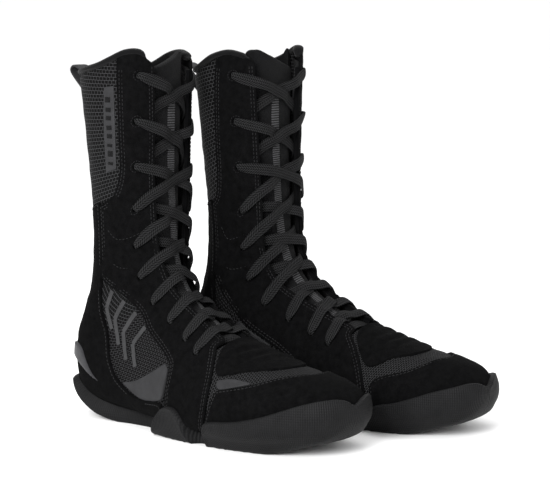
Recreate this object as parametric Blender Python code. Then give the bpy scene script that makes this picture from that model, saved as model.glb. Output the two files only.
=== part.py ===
"""A pair of tall lace-up boxing boots, built as separate panels, soles, tongues, laces and trim.

Every upper piece is cut from one smooth foot-and-shaft form.  A place on the form is (v, w):
v runs from the toe tip (0) over the heel to the collar, and w runs round the section from the
back or bottom centre line (0) to the front or top centre line (1 lateral, -1 medial).
Lengths are in millimetres until the last step.  The toes point along -Y.
"""
import math

import bmesh
import bpy
import numpy as np
from mathutils.geometry import delaunay_2d_cdt

# Driving dimensions, mm.
INSOLE = (-11.9, -8.9)
LINING = (-7.7, -6.6)
STIFFENER = (-4.8, -4.2)
MIDSOLE = (-5.0, 1.2)
BASE = (-3.4, -1.4)
SUEDE = (0.0, 1.4)
SOLE_WALL = (3.05, 5.2)
TONGUE = (-10.6, -7.8)
WEBBING = (-6.9, -6.3)
LACE_OUTSIDE = 3.5
LACE_INSIDE = -4.8
LACE_WIDTH = 7.0
LACE_THICK = 1.4
EYELET_RADIUS = 2.9
LOOP_WIDTH = 14.0
SEAM = 0.005
ROUND_BAND = ((-0.5, -0.5), (0.5, -0.5), (0.4, 0.5), (-0.4, 0.5))
LATTICE_V = 0.040
LATTICE_W = 1 / 13

# Placing of the two boots: (sign of lateral x, x, y, toe-out in degrees).
PLACES = {"right": (-1, -44.546, 154.522, 4.2), "left": (1, 48.954, 117.022, 2.9)}

# Section stations: v, back y, back z, front y, front z, lateral and medial half width,
# centre x, height share of the widest place, and the roundness below and above it.
STATIONS = [
    (0.00, 279.5, 35, 279.5, 35, 0, 0, -4, 0.50, 2.20, 2.20),
    (0.01, 277.5, 27, 278.5, 41, 14, 13, -4, 0.45, 2.30, 2.20),
    (0.04, 271, 20.5, 274, 47, 26, 24, -4, 0.40, 2.60, 2.20),
    (0.11, 250.5, 14, 258.5, 55, 40, 36, -3, 0.34, 3.20, 2.20),
    (0.21, 209.5, 9.5, 223.5, 62, 50, 44, -1, 0.30, 3.60, 2.20),
    (0.31, 165, 8, 189, 71, 50, 43, 0, 0.30, 3.60, 2.15),
    (0.41, 121, 9, 157.5, 83, 44, 38, 0, 0.30, 3.40, 2.15),
    (0.50, 76, 10.5, 136, 96, 38, 36, 0, 0.30, 3.20, 2.20),
    (0.56, 39, 12.5, 122, 106, 35, 35, 0, 0.30, 3.00, 2.25),
    (0.61, 14, 20, 112, 116, 33, 35, 0, 0.32, 2.80, 2.30),
    (0.66, 4.5, 40, 105, 128, 32, 35, 0, 0.36, 2.60, 2.35),
    (0.72, 8, 69, 100, 143, 31, 35, 0, 0.42, 2.40, 2.40),
    (0.78, 20, 100, 97, 162, 31, 36, 0, 0.46, 2.25, 2.45),
    (0.84, 25, 143, 95, 186, 33, 38, 0, 0.48, 2.15, 2.50),
    (0.91, 21.5, 192, 94, 216, 35, 41, 0, 0.48, 2.10, 2.55),
    (1.00, 15.5, 250, 94, 262, 38, 44, 0, 0.48, 2.10, 2.60),
    (1.10, 8, 305, 95, 309, 40, 46, 0, 0.48, 2.10, 2.60),
]


def spline(xs, ys):
    """Natural cubic spline through a few points."""
    xs = np.asarray(xs, float)
    ys = np.asarray(ys, float)
    n = len(xs)
    h = np.diff(xs)
    a = np.eye(n)
    r = np.zeros(n)
    for i in range(1, n - 1):
        a[i, i - 1:i + 2] = (h[i - 1], 2 * (h[i - 1] + h[i]), h[i])
        r[i] = 6 * ((ys[i + 1] - ys[i]) / h[i] - (ys[i] - ys[i - 1]) / h[i - 1])
    m = np.linalg.solve(a, r)

    def value(x):
        x = np.asarray(x, float)
        i = np.clip(np.searchsorted(xs, x) - 1, 0, n - 2)
        p = (xs[i + 1] - x) / h[i]
        q = (x - xs[i]) / h[i]
        bend = ((p ** 3 - p) * m[i] + (q ** 3 - q) * m[i + 1]) * h[i] ** 2 / 6
        return p * ys[i] + q * ys[i + 1] + bend
    return value


def smooth(lo, hi, x):
    k = np.clip((np.asarray(x, float) - lo) / (hi - lo), 0, 1)
    return k * k * (3 - 2 * k)


class Form:
    """The foot-and-shaft form as a fine grid over (v, w)."""

    def __init__(self):
        rows = np.array(STATIONS, float)
        root = np.sqrt(rows[:, 0])
        curves = [spline(root, rows[:, k]) for k in range(1, rows.shape[1])]
        self.root = np.linspace(0, root[-1], 161)
        self.share = np.linspace(0, 1, 61)
        self.grid = np.zeros((2, 161, 61, 3))
        turn = np.linspace(np.pi, 0, 241)
        cos = np.cos(turn)
        sin = np.clip(np.sin(turn), 0, 1)
        for i, q in enumerate(self.root):
            by, bz, fy, fz, wl, wm, xc, widest, low, high = [float(c(q)) for c in curves]
            power = np.where(turn <= np.pi / 2, low, high)
            reach = np.abs(cos) ** (2 / power)
            rise = np.where(turn <= np.pi / 2, widest * (1 - reach), widest + (1 - widest) * reach)
            for k, width in enumerate((max(wl, 0), -max(wm, 0))):
                line = np.stack([xc + width * sin ** (2 / power),
                                 by + (fy - by) * rise, bz + (fz - bz) * rise], 1)
                step = np.linalg.norm(np.diff(line, axis=0), axis=1) + 1e-9
                run = np.r_[0, np.cumsum(step)] / step.sum()
                for c in range(3):
                    self.grid[k, i, :, c] = np.interp(self.share, run, line[:, c])

    def point(self, v, w):
        v = np.asarray(v, float)
        w = np.asarray(w, float)
        w = np.where(w > 1, w - 2, np.where(w < -1, w + 2, w))
        fi = np.clip(np.sqrt(np.clip(v, 0, None)) / self.root[-1] * 160, 0, 159.999)
        fj = np.clip((1 - np.abs(w)) * 60, 0, 59.999)
        i = fi.astype(int)
        j = fj.astype(int)
        a = (fi - i)[..., None]
        b = (fj - j)[..., None]
        k = (w < 0).astype(int)
        g = self.grid
        near = g[k, i, j] * (1 - b) + g[k, i, j + 1] * b
        far = g[k, i + 1, j] * (1 - b) + g[k, i + 1, j + 1] * b
        return near * (1 - a) + far * a

    def normal(self, v, w):
        v = np.asarray(v, float)
        w = np.asarray(w, float)
        low = np.maximum(v - 0.004, 0.0004)
        along = self.point(np.maximum(v, 0.0004) + 0.004, w) - self.point(low, w)
        around = self.point(v, w + 0.012) - self.point(v, w - 0.012)
        n = np.cross(around, along)
        tip = np.clip(1 - v / 0.003, 0, 1)[..., None]
        size = np.linalg.norm(n, axis=-1, keepdims=True)
        n = n / np.maximum(size, 1e-9) * (1 - tip) + np.array((0, 1.0, 0)) * tip
        return n / np.linalg.norm(n, axis=-1, keepdims=True)

    def place(self, v, w, off):
        off = np.asarray(off, float)[..., None] if np.ndim(off) else off
        return self.point(v, w) + self.normal(v, w) * off


FORM = Form()


def unroll(v, w):
    """A flat picture of the form in which no outline folds over itself."""
    v = np.maximum(np.asarray(v, float), 0)
    r = np.sqrt(v) * np.exp(5 * v)
    a = np.asarray(w, float) * np.pi
    return r * np.sin(a), -r * np.cos(a)


def lateral(*pts):
    """Outline points given as (v, share from the front centre line) on the lateral side."""
    return [(v, 1 - t) for v, t in pts]


def medial(*pts):
    return [(v, t - 1) for v, t in pts]


def rounded(points, spacing, corner=()):
    """A closed smooth curve through (v, w) points, sampled about every `spacing` mm."""
    pts = np.array(points, float)
    n = len(pts)
    flat = np.stack(unroll(pts[:, 0], pts[:, 1]), 1)
    out = []
    for i in range(n):
        ids = (i - 1, i, (i + 1) % n, (i + 2) % n)
        p0, p1, p2, p3 = (pts[k].copy() for k in ids)
        for p in (p0, p2, p3):
            if p[1] - p1[1] > 1:
                p[1] -= 2
            if p[1] - p1[1] < -1:
                p[1] += 2
        if i in corner:
            p0 = 2 * p1 - p2
        if (i + 1) % n in corner:
            p3 = 2 * p2 - p1
        span = np.linalg.norm(FORM.point(*p1) - FORM.point(*p2))
        count = max(1, int(round(span / spacing)))
        for s in np.arange(count) / count:
            m1 = (p2 - p0) / 2
            m2 = (p3 - p1) / 2
            h = (2 * s ** 3 - 3 * s * s + 1, s ** 3 - 2 * s * s + s, -2 * s ** 3 + 3 * s * s, s ** 3 - s * s)
            q = p1 * h[0] + m1 * h[1] + p2 * h[2] + m2 * h[3]
            out.append((max(q[0], 0.0), (q[1] + 1) % 2 - 1 if abs(q[1]) > 1 else q[1]))
    return out


def inside(px, py, loop):
    """Which of the flat points lie inside a closed flat loop."""
    x, y = np.array(loop).T
    x2 = np.roll(x, -1)
    y2 = np.roll(y, -1)
    hit = np.zeros(len(px), bool)
    for a, b, c, d in zip(x, y, x2, y2):
        if b == d:
            continue
        cross = (b > py) != (d > py)
        hit ^= cross & (px < (c - a) * (py - b) / (d - b) + a)
    return hit


def lattice(scale):
    """Inner points for a panel, on lines shared by all layers of the same scale."""
    across = 2 / round(2 / (LATTICE_W * scale))
    return [(v, w) for v in np.arange(0.008, 1.1, LATTICE_V * scale)
            for w in np.arange(-1 + across / 2, 1, across)]


def panel_mesh(outline, inner, outer, holes=(), keep=3.5, floor=None, scale=1.0):
    """A closed panel between two offsets of the form, cut to an outline and its holes."""
    loops = [outline] + list(holes)
    vw = [p for loop in loops for p in loop]
    edge3 = FORM.point(*np.array(vw).T)
    flat_loops = [np.stack(unroll(*np.array(loop).T), 1) for loop in loops]
    grid = np.array(lattice(scale))
    gx, gy = unroll(grid[:, 0], grid[:, 1])
    ok = inside(gx, gy, flat_loops[0])
    for hole in flat_loops[1:]:
        ok &= ~inside(gx, gy, hole)
    grid = grid[ok]
    if len(grid):
        gap = np.linalg.norm(FORM.point(grid[:, 0], grid[:, 1])[:, None] - edge3[None], axis=2).min(axis=1)
        grid = grid[gap > keep]
    vw += [tuple(p) for p in grid]
    fx, fy = unroll(*np.array(vw).T)
    ids = []
    start = 0
    for loop in loops:
        ids.append(list(range(start, start + len(loop))))
        start += len(loop)
    edges = [(a, b) for loop in ids for a, b in zip(loop, loop[1:] + loop[:1])]
    res = delaunay_2d_cdt(list(zip(fx, fy)), edges, [], 0, 1e-9)
    origin = [o[0] if o else None for o in res[3]]
    tris = []
    for tri in res[2]:
        if any(origin[i] is None for i in tri):
            continue
        tris.append([origin[i] for i in tri])
    tris = np.array(tris)
    cx = fx[tris].mean(axis=1)
    cy = fy[tris].mean(axis=1)
    ok = inside(cx, cy, flat_loops[0])
    for hole in flat_loops[1:]:
        ok &= ~inside(cx, cy, hole)
    flat = np.stack([fx, fy], 1)
    a, b, c = (flat[tris[:, k]] for k in range(3))
    area = (b[:, 0] - a[:, 0]) * (c[:, 1] - a[:, 1]) - (b[:, 1] - a[:, 1]) * (c[:, 0] - a[:, 0])
    longest = np.max([((p - q) ** 2).sum(axis=1) for p, q in ((a, b), (b, c), (c, a))], axis=0)
    ok &= np.abs(area) > 1e-5 * longest
    tris = tris[ok]
    area = area[ok]
    v, w = np.array(vw).T
    top = FORM.place(v, w, outer(v, w) if callable(outer) else np.full(len(v), outer))
    low = FORM.place(v, w, inner(v, w) if callable(inner) else np.full(len(v), inner))
    if floor is not None:
        top[:, 2] = np.maximum(top[:, 2], floor)
    n = len(v)
    faces = []
    rim = {}
    for tri, s in zip(tris, area):
        t = list(map(int, tri)) if s < 0 else [int(tri[0]), int(tri[2]), int(tri[1])]
        faces.append(t)
        faces.append([t[2] + n, t[1] + n, t[0] + n])
        for p, q in ((t[0], t[1]), (t[1], t[2]), (t[2], t[0])):
            rim[(p, q)] = True
    for p, q in list(rim):
        if (q, p) not in rim:
            faces.append([q, p, p + n, q + n])
    return np.concatenate([top, low]), faces


def to_world(pts, boot):
    sign, x0, y0, turn = PLACES[boot]
    p = np.asarray(pts, float)
    x = sign * p[:, 0]
    y = -p[:, 1]
    a = math.radians(turn) * sign
    out = np.stack([math.cos(a) * x - math.sin(a) * y + x0,
                    math.sin(a) * x + math.cos(a) * y + y0, p[:, 2]], 1)
    return out / 1000


def material(name, colour, rough):
    mat = bpy.data.materials.new(name)
    mat.use_nodes = True
    shader = mat.node_tree.nodes["Principled BSDF"]
    shader.inputs["Base Color"].default_value = (*colour, 1)
    shader.inputs["Roughness"].default_value = rough
    return mat


def add(name, verts, faces, boot, slot, parent=None, origin=None):
    """Make one closed mesh object with outward faces, in world metres."""
    world = to_world(verts, boot)
    base = np.zeros(3) if origin is None else np.asarray(origin)
    bm = bmesh.new()
    made = [bm.verts.new(p) for p in world - base]
    for f in faces:
        try:
            bm.faces.new([made[i] for i in f])
        except ValueError:
            pass
    bmesh.ops.remove_doubles(bm, verts=bm.verts, dist=2e-6)
    bmesh.ops.triangulate(bm, faces=bm.faces)
    bmesh.ops.delete(bm, geom=[v for v in bm.verts if not v.link_faces], context="VERTS")
    bmesh.ops.recalc_face_normals(bm, faces=bm.faces)
    if bm.calc_volume(signed=True) < 0:
        bmesh.ops.reverse_faces(bm, faces=bm.faces)
    mesh = bpy.data.meshes.new(name)
    bm.to_mesh(mesh)
    bm.free()
    mesh.materials.append(MATERIALS[slot])
    obj = bpy.data.objects.new(name, mesh)
    bpy.context.scene.collection.objects.link(obj)
    obj.location = base
    if parent:
        obj.parent = parent
        obj.matrix_parent_inverse = parent.matrix_world.inverted()
    return obj


def sweep(path, wide, thick, widths, depths, shape=((-0.5, -0.5), (0.5, -0.5), (0.5, 0.5), (-0.5, 0.5))):
    """A band along a path, with its own width direction at each point."""
    verts = []
    for p, a, b, sw, sd in zip(path, wide, thick, widths, depths):
        for x, y in shape:
            verts.append(p + a * (x * sw) + b * (y * sd))
    n = len(path)
    k = len(shape)
    faces = []
    for i in range(n - 1):
        for j in range(k):
            m = i + 1
            faces.append([i * k + j, i * k + (j + 1) % k, m * k + (j + 1) % k, m * k + j])
    faces.append(list(range(k)))
    faces.append([(n - 1) * k + j for j in range(k)])
    return np.array(verts), faces


def unit(a):
    a = np.asarray(a, float)
    return a / np.maximum(np.linalg.norm(a, axis=-1, keepdims=True), 1e-9)


# Outlines shared by more than one piece.
EYELETS_LATERAL = [(1.030, 0.21), (0.962, 0.235), (0.895, 0.25), (0.826, 0.26), (0.762, 0.25),
                   (0.680, 0.215), (0.600, 0.19), (0.525, 0.20), (0.452, 0.23), (0.395, 0.26)]
EYELETS_MEDIAL = [(1.030, 0.39), (0.962, 0.39), (0.895, 0.39), (0.826, 0.38), (0.762, 0.36),
                  (0.680, 0.31), (0.600, 0.275), (0.525, 0.27), (0.452, 0.28), (0.395, 0.29)]
THROAT_LATERAL = [(0.375, 0.10), (0.45, 0.085), (0.55, 0.075), (0.65, 0.08), (0.76, 0.11),
                  (0.86, 0.13), (0.96, 0.12)]
THROAT_MEDIAL = [(0.375, 0.12), (0.45, 0.13), (0.55, 0.14), (0.65, 0.17), (0.76, 0.22),
                 (0.86, 0.25), (0.96, 0.26)]
COLLAR = lateral((1.050, 0.12), (1.066, 0.20), (1.067, 0.29), (1.058, 0.39), (1.050, 0.50), (1.046, 0.65),
                 (1.044, 0.82))
COLLAR += [(1.044, 0.0)]
COLLAR += medial((1.044, 0.82), (1.048, 0.66), (1.062, 0.52), (1.066, 0.42), (1.060, 0.34), (1.052, 0.26))


def board_limit(v):
    """Half width of the bottom pieces, as a share of the section."""
    return np.interp(v, (0.0, 0.30, 0.36, 0.42, 0.465, 0.6), (0.24, 0.24, 0.22, 0.20, 0.11, 0.11))


def sole_outer(v, w):
    extra = np.interp(v, (0, 0.04, 0.11, 0.17, 0.5, 0.56, 0.6, 0.64), (0, 1.5, 3, 7, 8.5, 7.5, 4, 0))
    return SOLE_WALL[1] + extra * (1 - smooth(0.26, 0.36, np.abs(w)))


def suede_outer(v, w):
    """The suede thins where it turns under the foot."""
    return SUEDE[1] - 0.8 * (1 - smooth(0.27, 0.36, np.abs(w)))


def hole_loop(v, t, side, radius, sides=6):
    """A round hole through the panels, as a loop in (v, w)."""
    w = (1 - t) * side
    along = np.linalg.norm(FORM.point(v + 0.005, w) - FORM.point(v - 0.005, w)) / 0.01
    around = np.linalg.norm(FORM.point(v, w + 0.005) - FORM.point(v, w - 0.005)) / 0.01
    turn = [2 * math.pi * (k + 0.5) / sides for k in range(sides)]
    return [(v + radius * math.sin(a) / along, w + radius * math.cos(a) / around) for a in turn]


def edge_curve(values, margin=0.0):
    return [(v, t + margin) for v, t in values]


BACK_OF_FACING_L = [(0.405, 0.32), (0.45, 0.29), (0.52, 0.27), (0.60, 0.265), (0.68, 0.29), (0.76, 0.325),
                    (0.86, 0.325), (0.96, 0.325)]
BACK_OF_FACING_M = [(0.405, 0.36), (0.45, 0.35), (0.52, 0.345), (0.60, 0.345), (0.68, 0.385), (0.76, 0.435),
                    (0.86, 0.46), (0.96, 0.465)]


def build_boot(boot):
    """All pieces of one boot."""
    root = bpy.data.objects.new(boot + "_boot", None)
    bpy.context.scene.collection.objects.link(root)
    made = {}

    def panel(part, outline, span, slot, spacing=9.0, holes=(), corner=(), parent=root, origin=None,
              floor=None, keep=3.5, scale=1.0):
        loop = rounded(outline, spacing, corner)
        verts, faces = panel_mesh(loop, span[0], span[1], holes, keep, floor, scale)
        made[part] = add(boot + "_" + part, verts, faces, boot, slot, parent, origin)
        return made[part]

    # Sole unit.
    sole = lateral((0.004, 0.02), (0.012, 0.16), (0.05, 0.31), (0.11, 0.42), (0.164, 0.495), (0.22, 0.545),
                   (0.268, 0.575), (0.282, 0.61), (0.292, 0.72), (0.308, 0.745), (0.324, 0.70),
                   (0.345, 0.62), (0.372, 0.59), (0.398, 0.62), (0.418, 0.71), (0.437, 0.80),
                   (0.465, 0.85), (0.51, 0.855), (0.56, 0.835), (0.60, 0.825), (0.632, 0.86))
    sole += [(0.644, 0.0)]
    sole += medial((0.632, 0.80), (0.60, 0.73), (0.54, 0.70), (0.46, 0.69), (0.40, 0.66), (0.36, 0.61),
                   (0.33, 0.61), (0.305, 0.67), (0.275, 0.69), (0.25, 0.68), (0.238, 0.62), (0.222, 0.57),
                   (0.18, 0.53), (0.12, 0.45), (0.058, 0.36), (0.014, 0.2), (0.004, 0.02))
    panel("outsole", sole, (SOLE_WALL[0], sole_outer), "rubber", 9.5, floor=0.0)
    clip = lateral((0.575, 0.705), (0.62, 0.73), (0.655, 0.80), (0.672, 0.90))
    clip += [(0.676, 0.0)] + medial((0.672, 0.90), (0.655, 0.80), (0.62, 0.73), (0.575, 0.705))
    clip += medial((0.643, 0.70), (0.681, 0.80)) + [(0.698, 0.0)] + lateral((0.681, 0.80), (0.643, 0.70))
    panel("heel_clip", clip, (1.9, 3.1), "clip", 9.0, corner=(0, 8))

    # Bottom filler and footbed.
    board_rows = (0.085, 0.16, 0.26, 0.36, 0.46, 0.545)
    board = [(0.07, 0.0)] + [(v, float(board_limit(v)) - 0.015) for v in board_rows]
    board += [(0.562, 0.0)]
    board += [(v, 0.015 - float(board_limit(v))) for v in reversed(board_rows)]
    panel("midsole", board, MIDSOLE, "board", 15.0, keep=5.0)
    half = [(0.07, 0.2), (0.16, 0.26), (0.26, 0.27), (0.36, 0.24), (0.46, 0.22), (0.545, 0.2)]
    bed = [(0.05, 0.0)] + half + [(0.57, 0.0)] + [(v, -w) for v, w in half[::-1]]
    panel("insole", bed, INSOLE, "insole", 15.0, keep=5.0, scale=1.2)

    # Inner sock, sewn from two halves along the centre line, with its front open behind the tongue.
    rim_lateral = [(1.064, 0.33), (1.055, 0.42), (1.046, 0.60)]
    rim_medial = [(1.062, 0.49), (1.044, 0.60)]
    for side, name, back, rim in ((1, "lateral", BACK_OF_FACING_L, rim_lateral),
                                  (-1, "medial", BACK_OF_FACING_M, rim_medial)):
        fold = lateral if side > 0 else medial
        sock = [(v, side * SEAM) for v in (1.041, 0.90, 0.76, 0.66, 0.58, 0.48, 0.34, 0.20, 0.09)]
        sock += [(0.03, side * 0.03), (0.016, side * 0.25), (0.016, side * 0.75), (0.03, side * 0.975)]
        sock += [(0.10, side * (1 - SEAM)), (0.24, side * (1 - SEAM)), (0.36, side * (1 - SEAM))]
        sock += fold((0.372, 0.26)) + fold(*back) + fold(*rim)
        panel("lining_" + name, sock, LINING, "lining", 18.0, corner=(0, 15, 24), keep=7.0, scale=1.2)
    puff = [(0.135, 1.0)] + lateral((0.13, 0.40), (0.11, 0.62), (0.06, 0.72)) + [(0.05, 0.0)]
    puff += medial((0.06, 0.72), (0.11, 0.62), (0.13, 0.40))
    panel("toe_puff", puff, STIFFENER, "board", 15.0, keep=5.0, scale=1.2)
    stiff = [(0.60, 0.0)] + lateral((0.585, 0.76), (0.55, 0.70), (0.50, 0.66), (0.52, 0.58), (0.62, 0.58),
                                    (0.70, 0.66))
    stiff += [(0.72, 0.0)] + medial((0.70, 0.66), (0.62, 0.58), (0.52, 0.58), (0.50, 0.66), (0.55, 0.70),
                                    (0.585, 0.76))
    panel("heel_counter", stiff, STIFFENER, "board", 15.0, keep=5.0, scale=1.2)

    # Base layer: toe box mesh, two ankle meshes and the collar mesh.
    low = [(v, float(board_limit(v)) + 0.045) for v in (0.06, 0.12, 0.20, 0.28, 0.36, 0.412)]
    vamp = [(0.052, 0.0)] + low + lateral((0.405, 0.45), (0.375, 0.36), (0.362, 0.20)) + [(0.358, 1.0)]
    vamp += medial((0.362, 0.20), (0.375, 0.38), (0.405, 0.47)) + [(v, -w) for v, w in low[::-1]]
    panel("vamp_mesh", vamp, BASE, "mesh", 14.0, corner=(6, 14))
    for side, name, back in ((1, "lateral", BACK_OF_FACING_L), (-1, "medial", BACK_OF_FACING_M)):
        fold = lateral if side > 0 else medial
        low = [(v, side * (float(board_limit(v)) + 0.045)) for v in (0.42, 0.49, 0.56)]
        edge = [(0.63, side * 0.27), (0.705, side * 0.004), (0.78, side * 0.004), (0.868, side * 0.004)]
        rest = fold((0.868, back[-2][1] + 0.008)) + fold(*edge_curve(back[-3:0:-1], 0.008))
        front = fold((0.416, back[0][1] + 0.03))
        panel("ankle_mesh_" + name, low + edge + rest + front, BASE, "mesh", 12.0, corner=(0, 4, 6, 7))
    mesh = lateral((0.875, 0.333), (0.96, 0.333), (1.060, 0.333), (1.054, 0.42), (1.046, 0.60))
    mesh += [(1.041, 0.0)]
    mesh += medial((1.044, 0.60), (1.060, 0.475), (0.96, 0.473), (0.875, 0.468)) + [(0.875, 0.0)]
    panel("collar_mesh", mesh, BASE, "mesh", 11.0, corner=(0, 2, 7, 9))

    # Suede layer.
    q = lateral((1.046, 0.12), (1.062, 0.20), (1.064, 0.28), (1.060, 0.335), (1.016, 0.345), (0.95, 0.355),
                (0.895, 0.365), (0.866, 0.42), (0.862, 0.50), (0.862, 0.585), (0.81, 0.59), (0.762, 0.565),
                (0.745, 0.52), (0.68, 0.355), (0.608, 0.268), (0.54, 0.31), (0.452, 0.375), (0.432, 0.42),
                (0.412, 0.54), (0.40, 0.62), (0.394, 0.72), (0.35, 0.762), (0.298, 0.75), (0.286, 0.67),
                (0.290, 0.52), (0.312, 0.36), (0.345, 0.24))
    q += lateral((0.368, 0.17)) + lateral(*THROAT_LATERAL)
    holes = [hole_loop(v, t, 1, EYELET_RADIUS) for v, t in EYELETS_LATERAL]
    panel("quarter_lateral", q, (SUEDE[0], suede_outer), "suede", 10.0, holes, (0, 3, 22, 9))
    q = medial((1.050, 0.268), (1.058, 0.34), (1.064, 0.42), (1.058, 0.49), (1.02, 0.515), (0.95, 0.54),
               (0.90, 0.555), (0.870, 0.585), (0.862, 0.64), (0.81, 0.63), (0.762, 0.60), (0.70, 0.50),
               (0.62, 0.42), (0.52, 0.435), (0.44, 0.50), (0.41, 0.575), (0.385, 0.70), (0.34, 0.72),
               (0.255, 0.71), (0.245, 0.64), (0.258, 0.50), (0.29, 0.36), (0.33, 0.25))
    q += medial((0.362, 0.18)) + medial(*THROAT_MEDIAL)
    holes = [hole_loop(v, t, -1, EYELET_RADIUS) for v, t in EYELETS_MEDIAL]
    panel("quarter_medial", q, (SUEDE[0], suede_outer), "suede", 10.0, holes, (0, 3, 8))
    guard = [(0.14, 1.0)] + lateral((0.16, 0.15), (0.21, 0.32), (0.278, 0.415), (0.276, 0.54), (0.272, 0.66),
                                    (0.22, 0.68), (0.12, 0.66), (0.055, 0.60), (0.025, 0.72))
    guard += [(0.012, 0.0)] + medial((0.025, 0.72), (0.055, 0.60), (0.12, 0.66), (0.20, 0.68), (0.228, 0.66),
                                     (0.234, 0.54), (0.240, 0.425), (0.18, 0.31), (0.15, 0.15))
    panel("toe_guard", guard, (SUEDE[0], suede_outer), "suede", 10.0, corner=(3,))
    heel = lateral((0.857, 0.60), (0.81, 0.605), (0.762, 0.58), (0.69, 0.53), (0.63, 0.505), (0.58, 0.58),
                   (0.535, 0.65), (0.48, 0.685), (0.42, 0.635), (0.408, 0.66),
                   (0.412, 0.78), (0.44, 0.80), (0.478, 0.88),
                   (0.55, 0.885), (0.60, 0.89))
    heel += [(0.612, 0.0)] + medial((0.60, 0.80), (0.55, 0.755), (0.45, 0.745), (0.40, 0.72), (0.40, 0.68),
                                    (0.44, 0.66), (0.50, 0.68), (0.55, 0.65), (0.62, 0.56), (0.70, 0.57),
                                    (0.76, 0.62), (0.81, 0.645), (0.857, 0.655))
    heel += [(0.862, 0.0)]
    panel("heel_suede", heel, (SUEDE[0], suede_outer), "suede", 9.5, corner=(0, 28))
    flex = [(0.205, 1.0)]
    flex += lateral((0.222, 0.12), (0.262, 0.22), (0.305, 0.30), (0.333, 0.225), (0.352, 0.13))
    flex += [(0.356, 1.0)]
    flex += medial((0.35, 0.13), (0.318, 0.235), (0.275, 0.32), (0.245, 0.22), (0.215, 0.12))
    panel("vamp_flex_panel", flex, (0.0, 1.1), "suede", 10.0)

    # Pale trim panels.
    wedge = lateral((0.526, 0.635), (0.502, 0.585), (0.455, 0.41), (0.44, 0.44), (0.422, 0.57), (0.43, 0.61),
                    (0.475, 0.66))
    panel("accent_ankle", wedge, (0.0, 1.0), "accent", 7.0, corner=(0, 2))
    tip = lateral((0.298, 0.35), (0.268, 0.31), (0.225, 0.30), (0.25, 0.345), (0.282, 0.385))
    panel("accent_forefoot", tip, (0.0, 1.0), "accent", 6.0, corner=(0, 2))
    arch = medial((0.61, 0.435), (0.56, 0.435), (0.52, 0.45), (0.535, 0.48), (0.60, 0.475))
    panel("accent_medial", arch, (0.0, 1.0), "accent", 6.0, corner=(2,))
    label = lateral((1.018, 0.37), (1.018, 0.445), (0.96, 0.475), (0.90, 0.49), (0.90, 0.395), (0.96, 0.38))
    panel("collar_label", label, (0.0, 0.8), "accent", 8.0, corner=(0, 1, 3, 4))

    # Eyelet facings under the quarters, from the throat back to the base layer.
    for side, name, rows, throat, back in (
            (1, "lateral", EYELETS_LATERAL, THROAT_LATERAL, BACK_OF_FACING_L),
            (-1, "medial", EYELETS_MEDIAL, THROAT_MEDIAL, BACK_OF_FACING_M)):
        fold = lateral if side > 0 else medial
        strip = fold((0.385, throat[0][1] + 0.01)) + fold(*edge_curve(throat[1:], 0.006))
        strip += fold((1.036, throat[-1][1] + 0.008), (1.050, back[-1][1] - 0.02))
        strip += fold(*edge_curve(back[:0:-1], -0.012)) + fold((0.388, back[0][1] - 0.012))
        holes = [hole_loop(v, t, side, EYELET_RADIUS) for v, t in rows]
        panel("eyelet_facing_" + name, strip, BASE, "trim", 14.0, holes, keep=3.0, corner=(0, 7, 8, 16))

    # Tongue on its hinge line, with the webbing that rides on it.
    base = to_world([FORM.place(np.array(0.378), np.array(1.0), -3.0)], boot)[0]
    pivot = bpy.data.objects.new(boot + "_tongue_pivot", None)
    bpy.context.scene.collection.objects.link(pivot)
    pivot.location = base
    pivot.parent = root
    bpy.context.view_layer.update()
    tongue = lateral((0.378, 0.06), (0.42, 0.225), (0.52, 0.225), (0.60, 0.22), (0.68, 0.235), (0.76, 0.25),
                     (0.88, 0.245), (1.00, 0.235), (1.03, 0.18))
    tongue += [(1.045, 1.0)] + medial((1.058, 0.12), (1.068, 0.23), (1.055, 0.335), (0.96, 0.365),
                                      (0.86, 0.365), (0.76, 0.35), (0.68, 0.32), (0.60, 0.30), (0.52, 0.295),
                                      (0.42, 0.29), (0.378, 0.06))
    panel("tongue", tongue, TONGUE, "mesh", 15.0, parent=pivot, origin=base, scale=1.2)
    strip = [(0.44, -0.975), (0.52, -0.98), (0.66, -0.975), (0.80, -0.965), (0.99, -0.955),
             (0.99, -0.885), (0.80, -0.895), (0.66, -0.91), (0.52, -0.92), (0.44, -0.915)]
    panel("tongue_webbing", strip, WEBBING, "trim", 14.0, corner=(0, 4, 5, 9), parent=pivot, origin=base,
          scale=1.2)
    lace_and_trim(boot, root, made)
    return root, made


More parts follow.
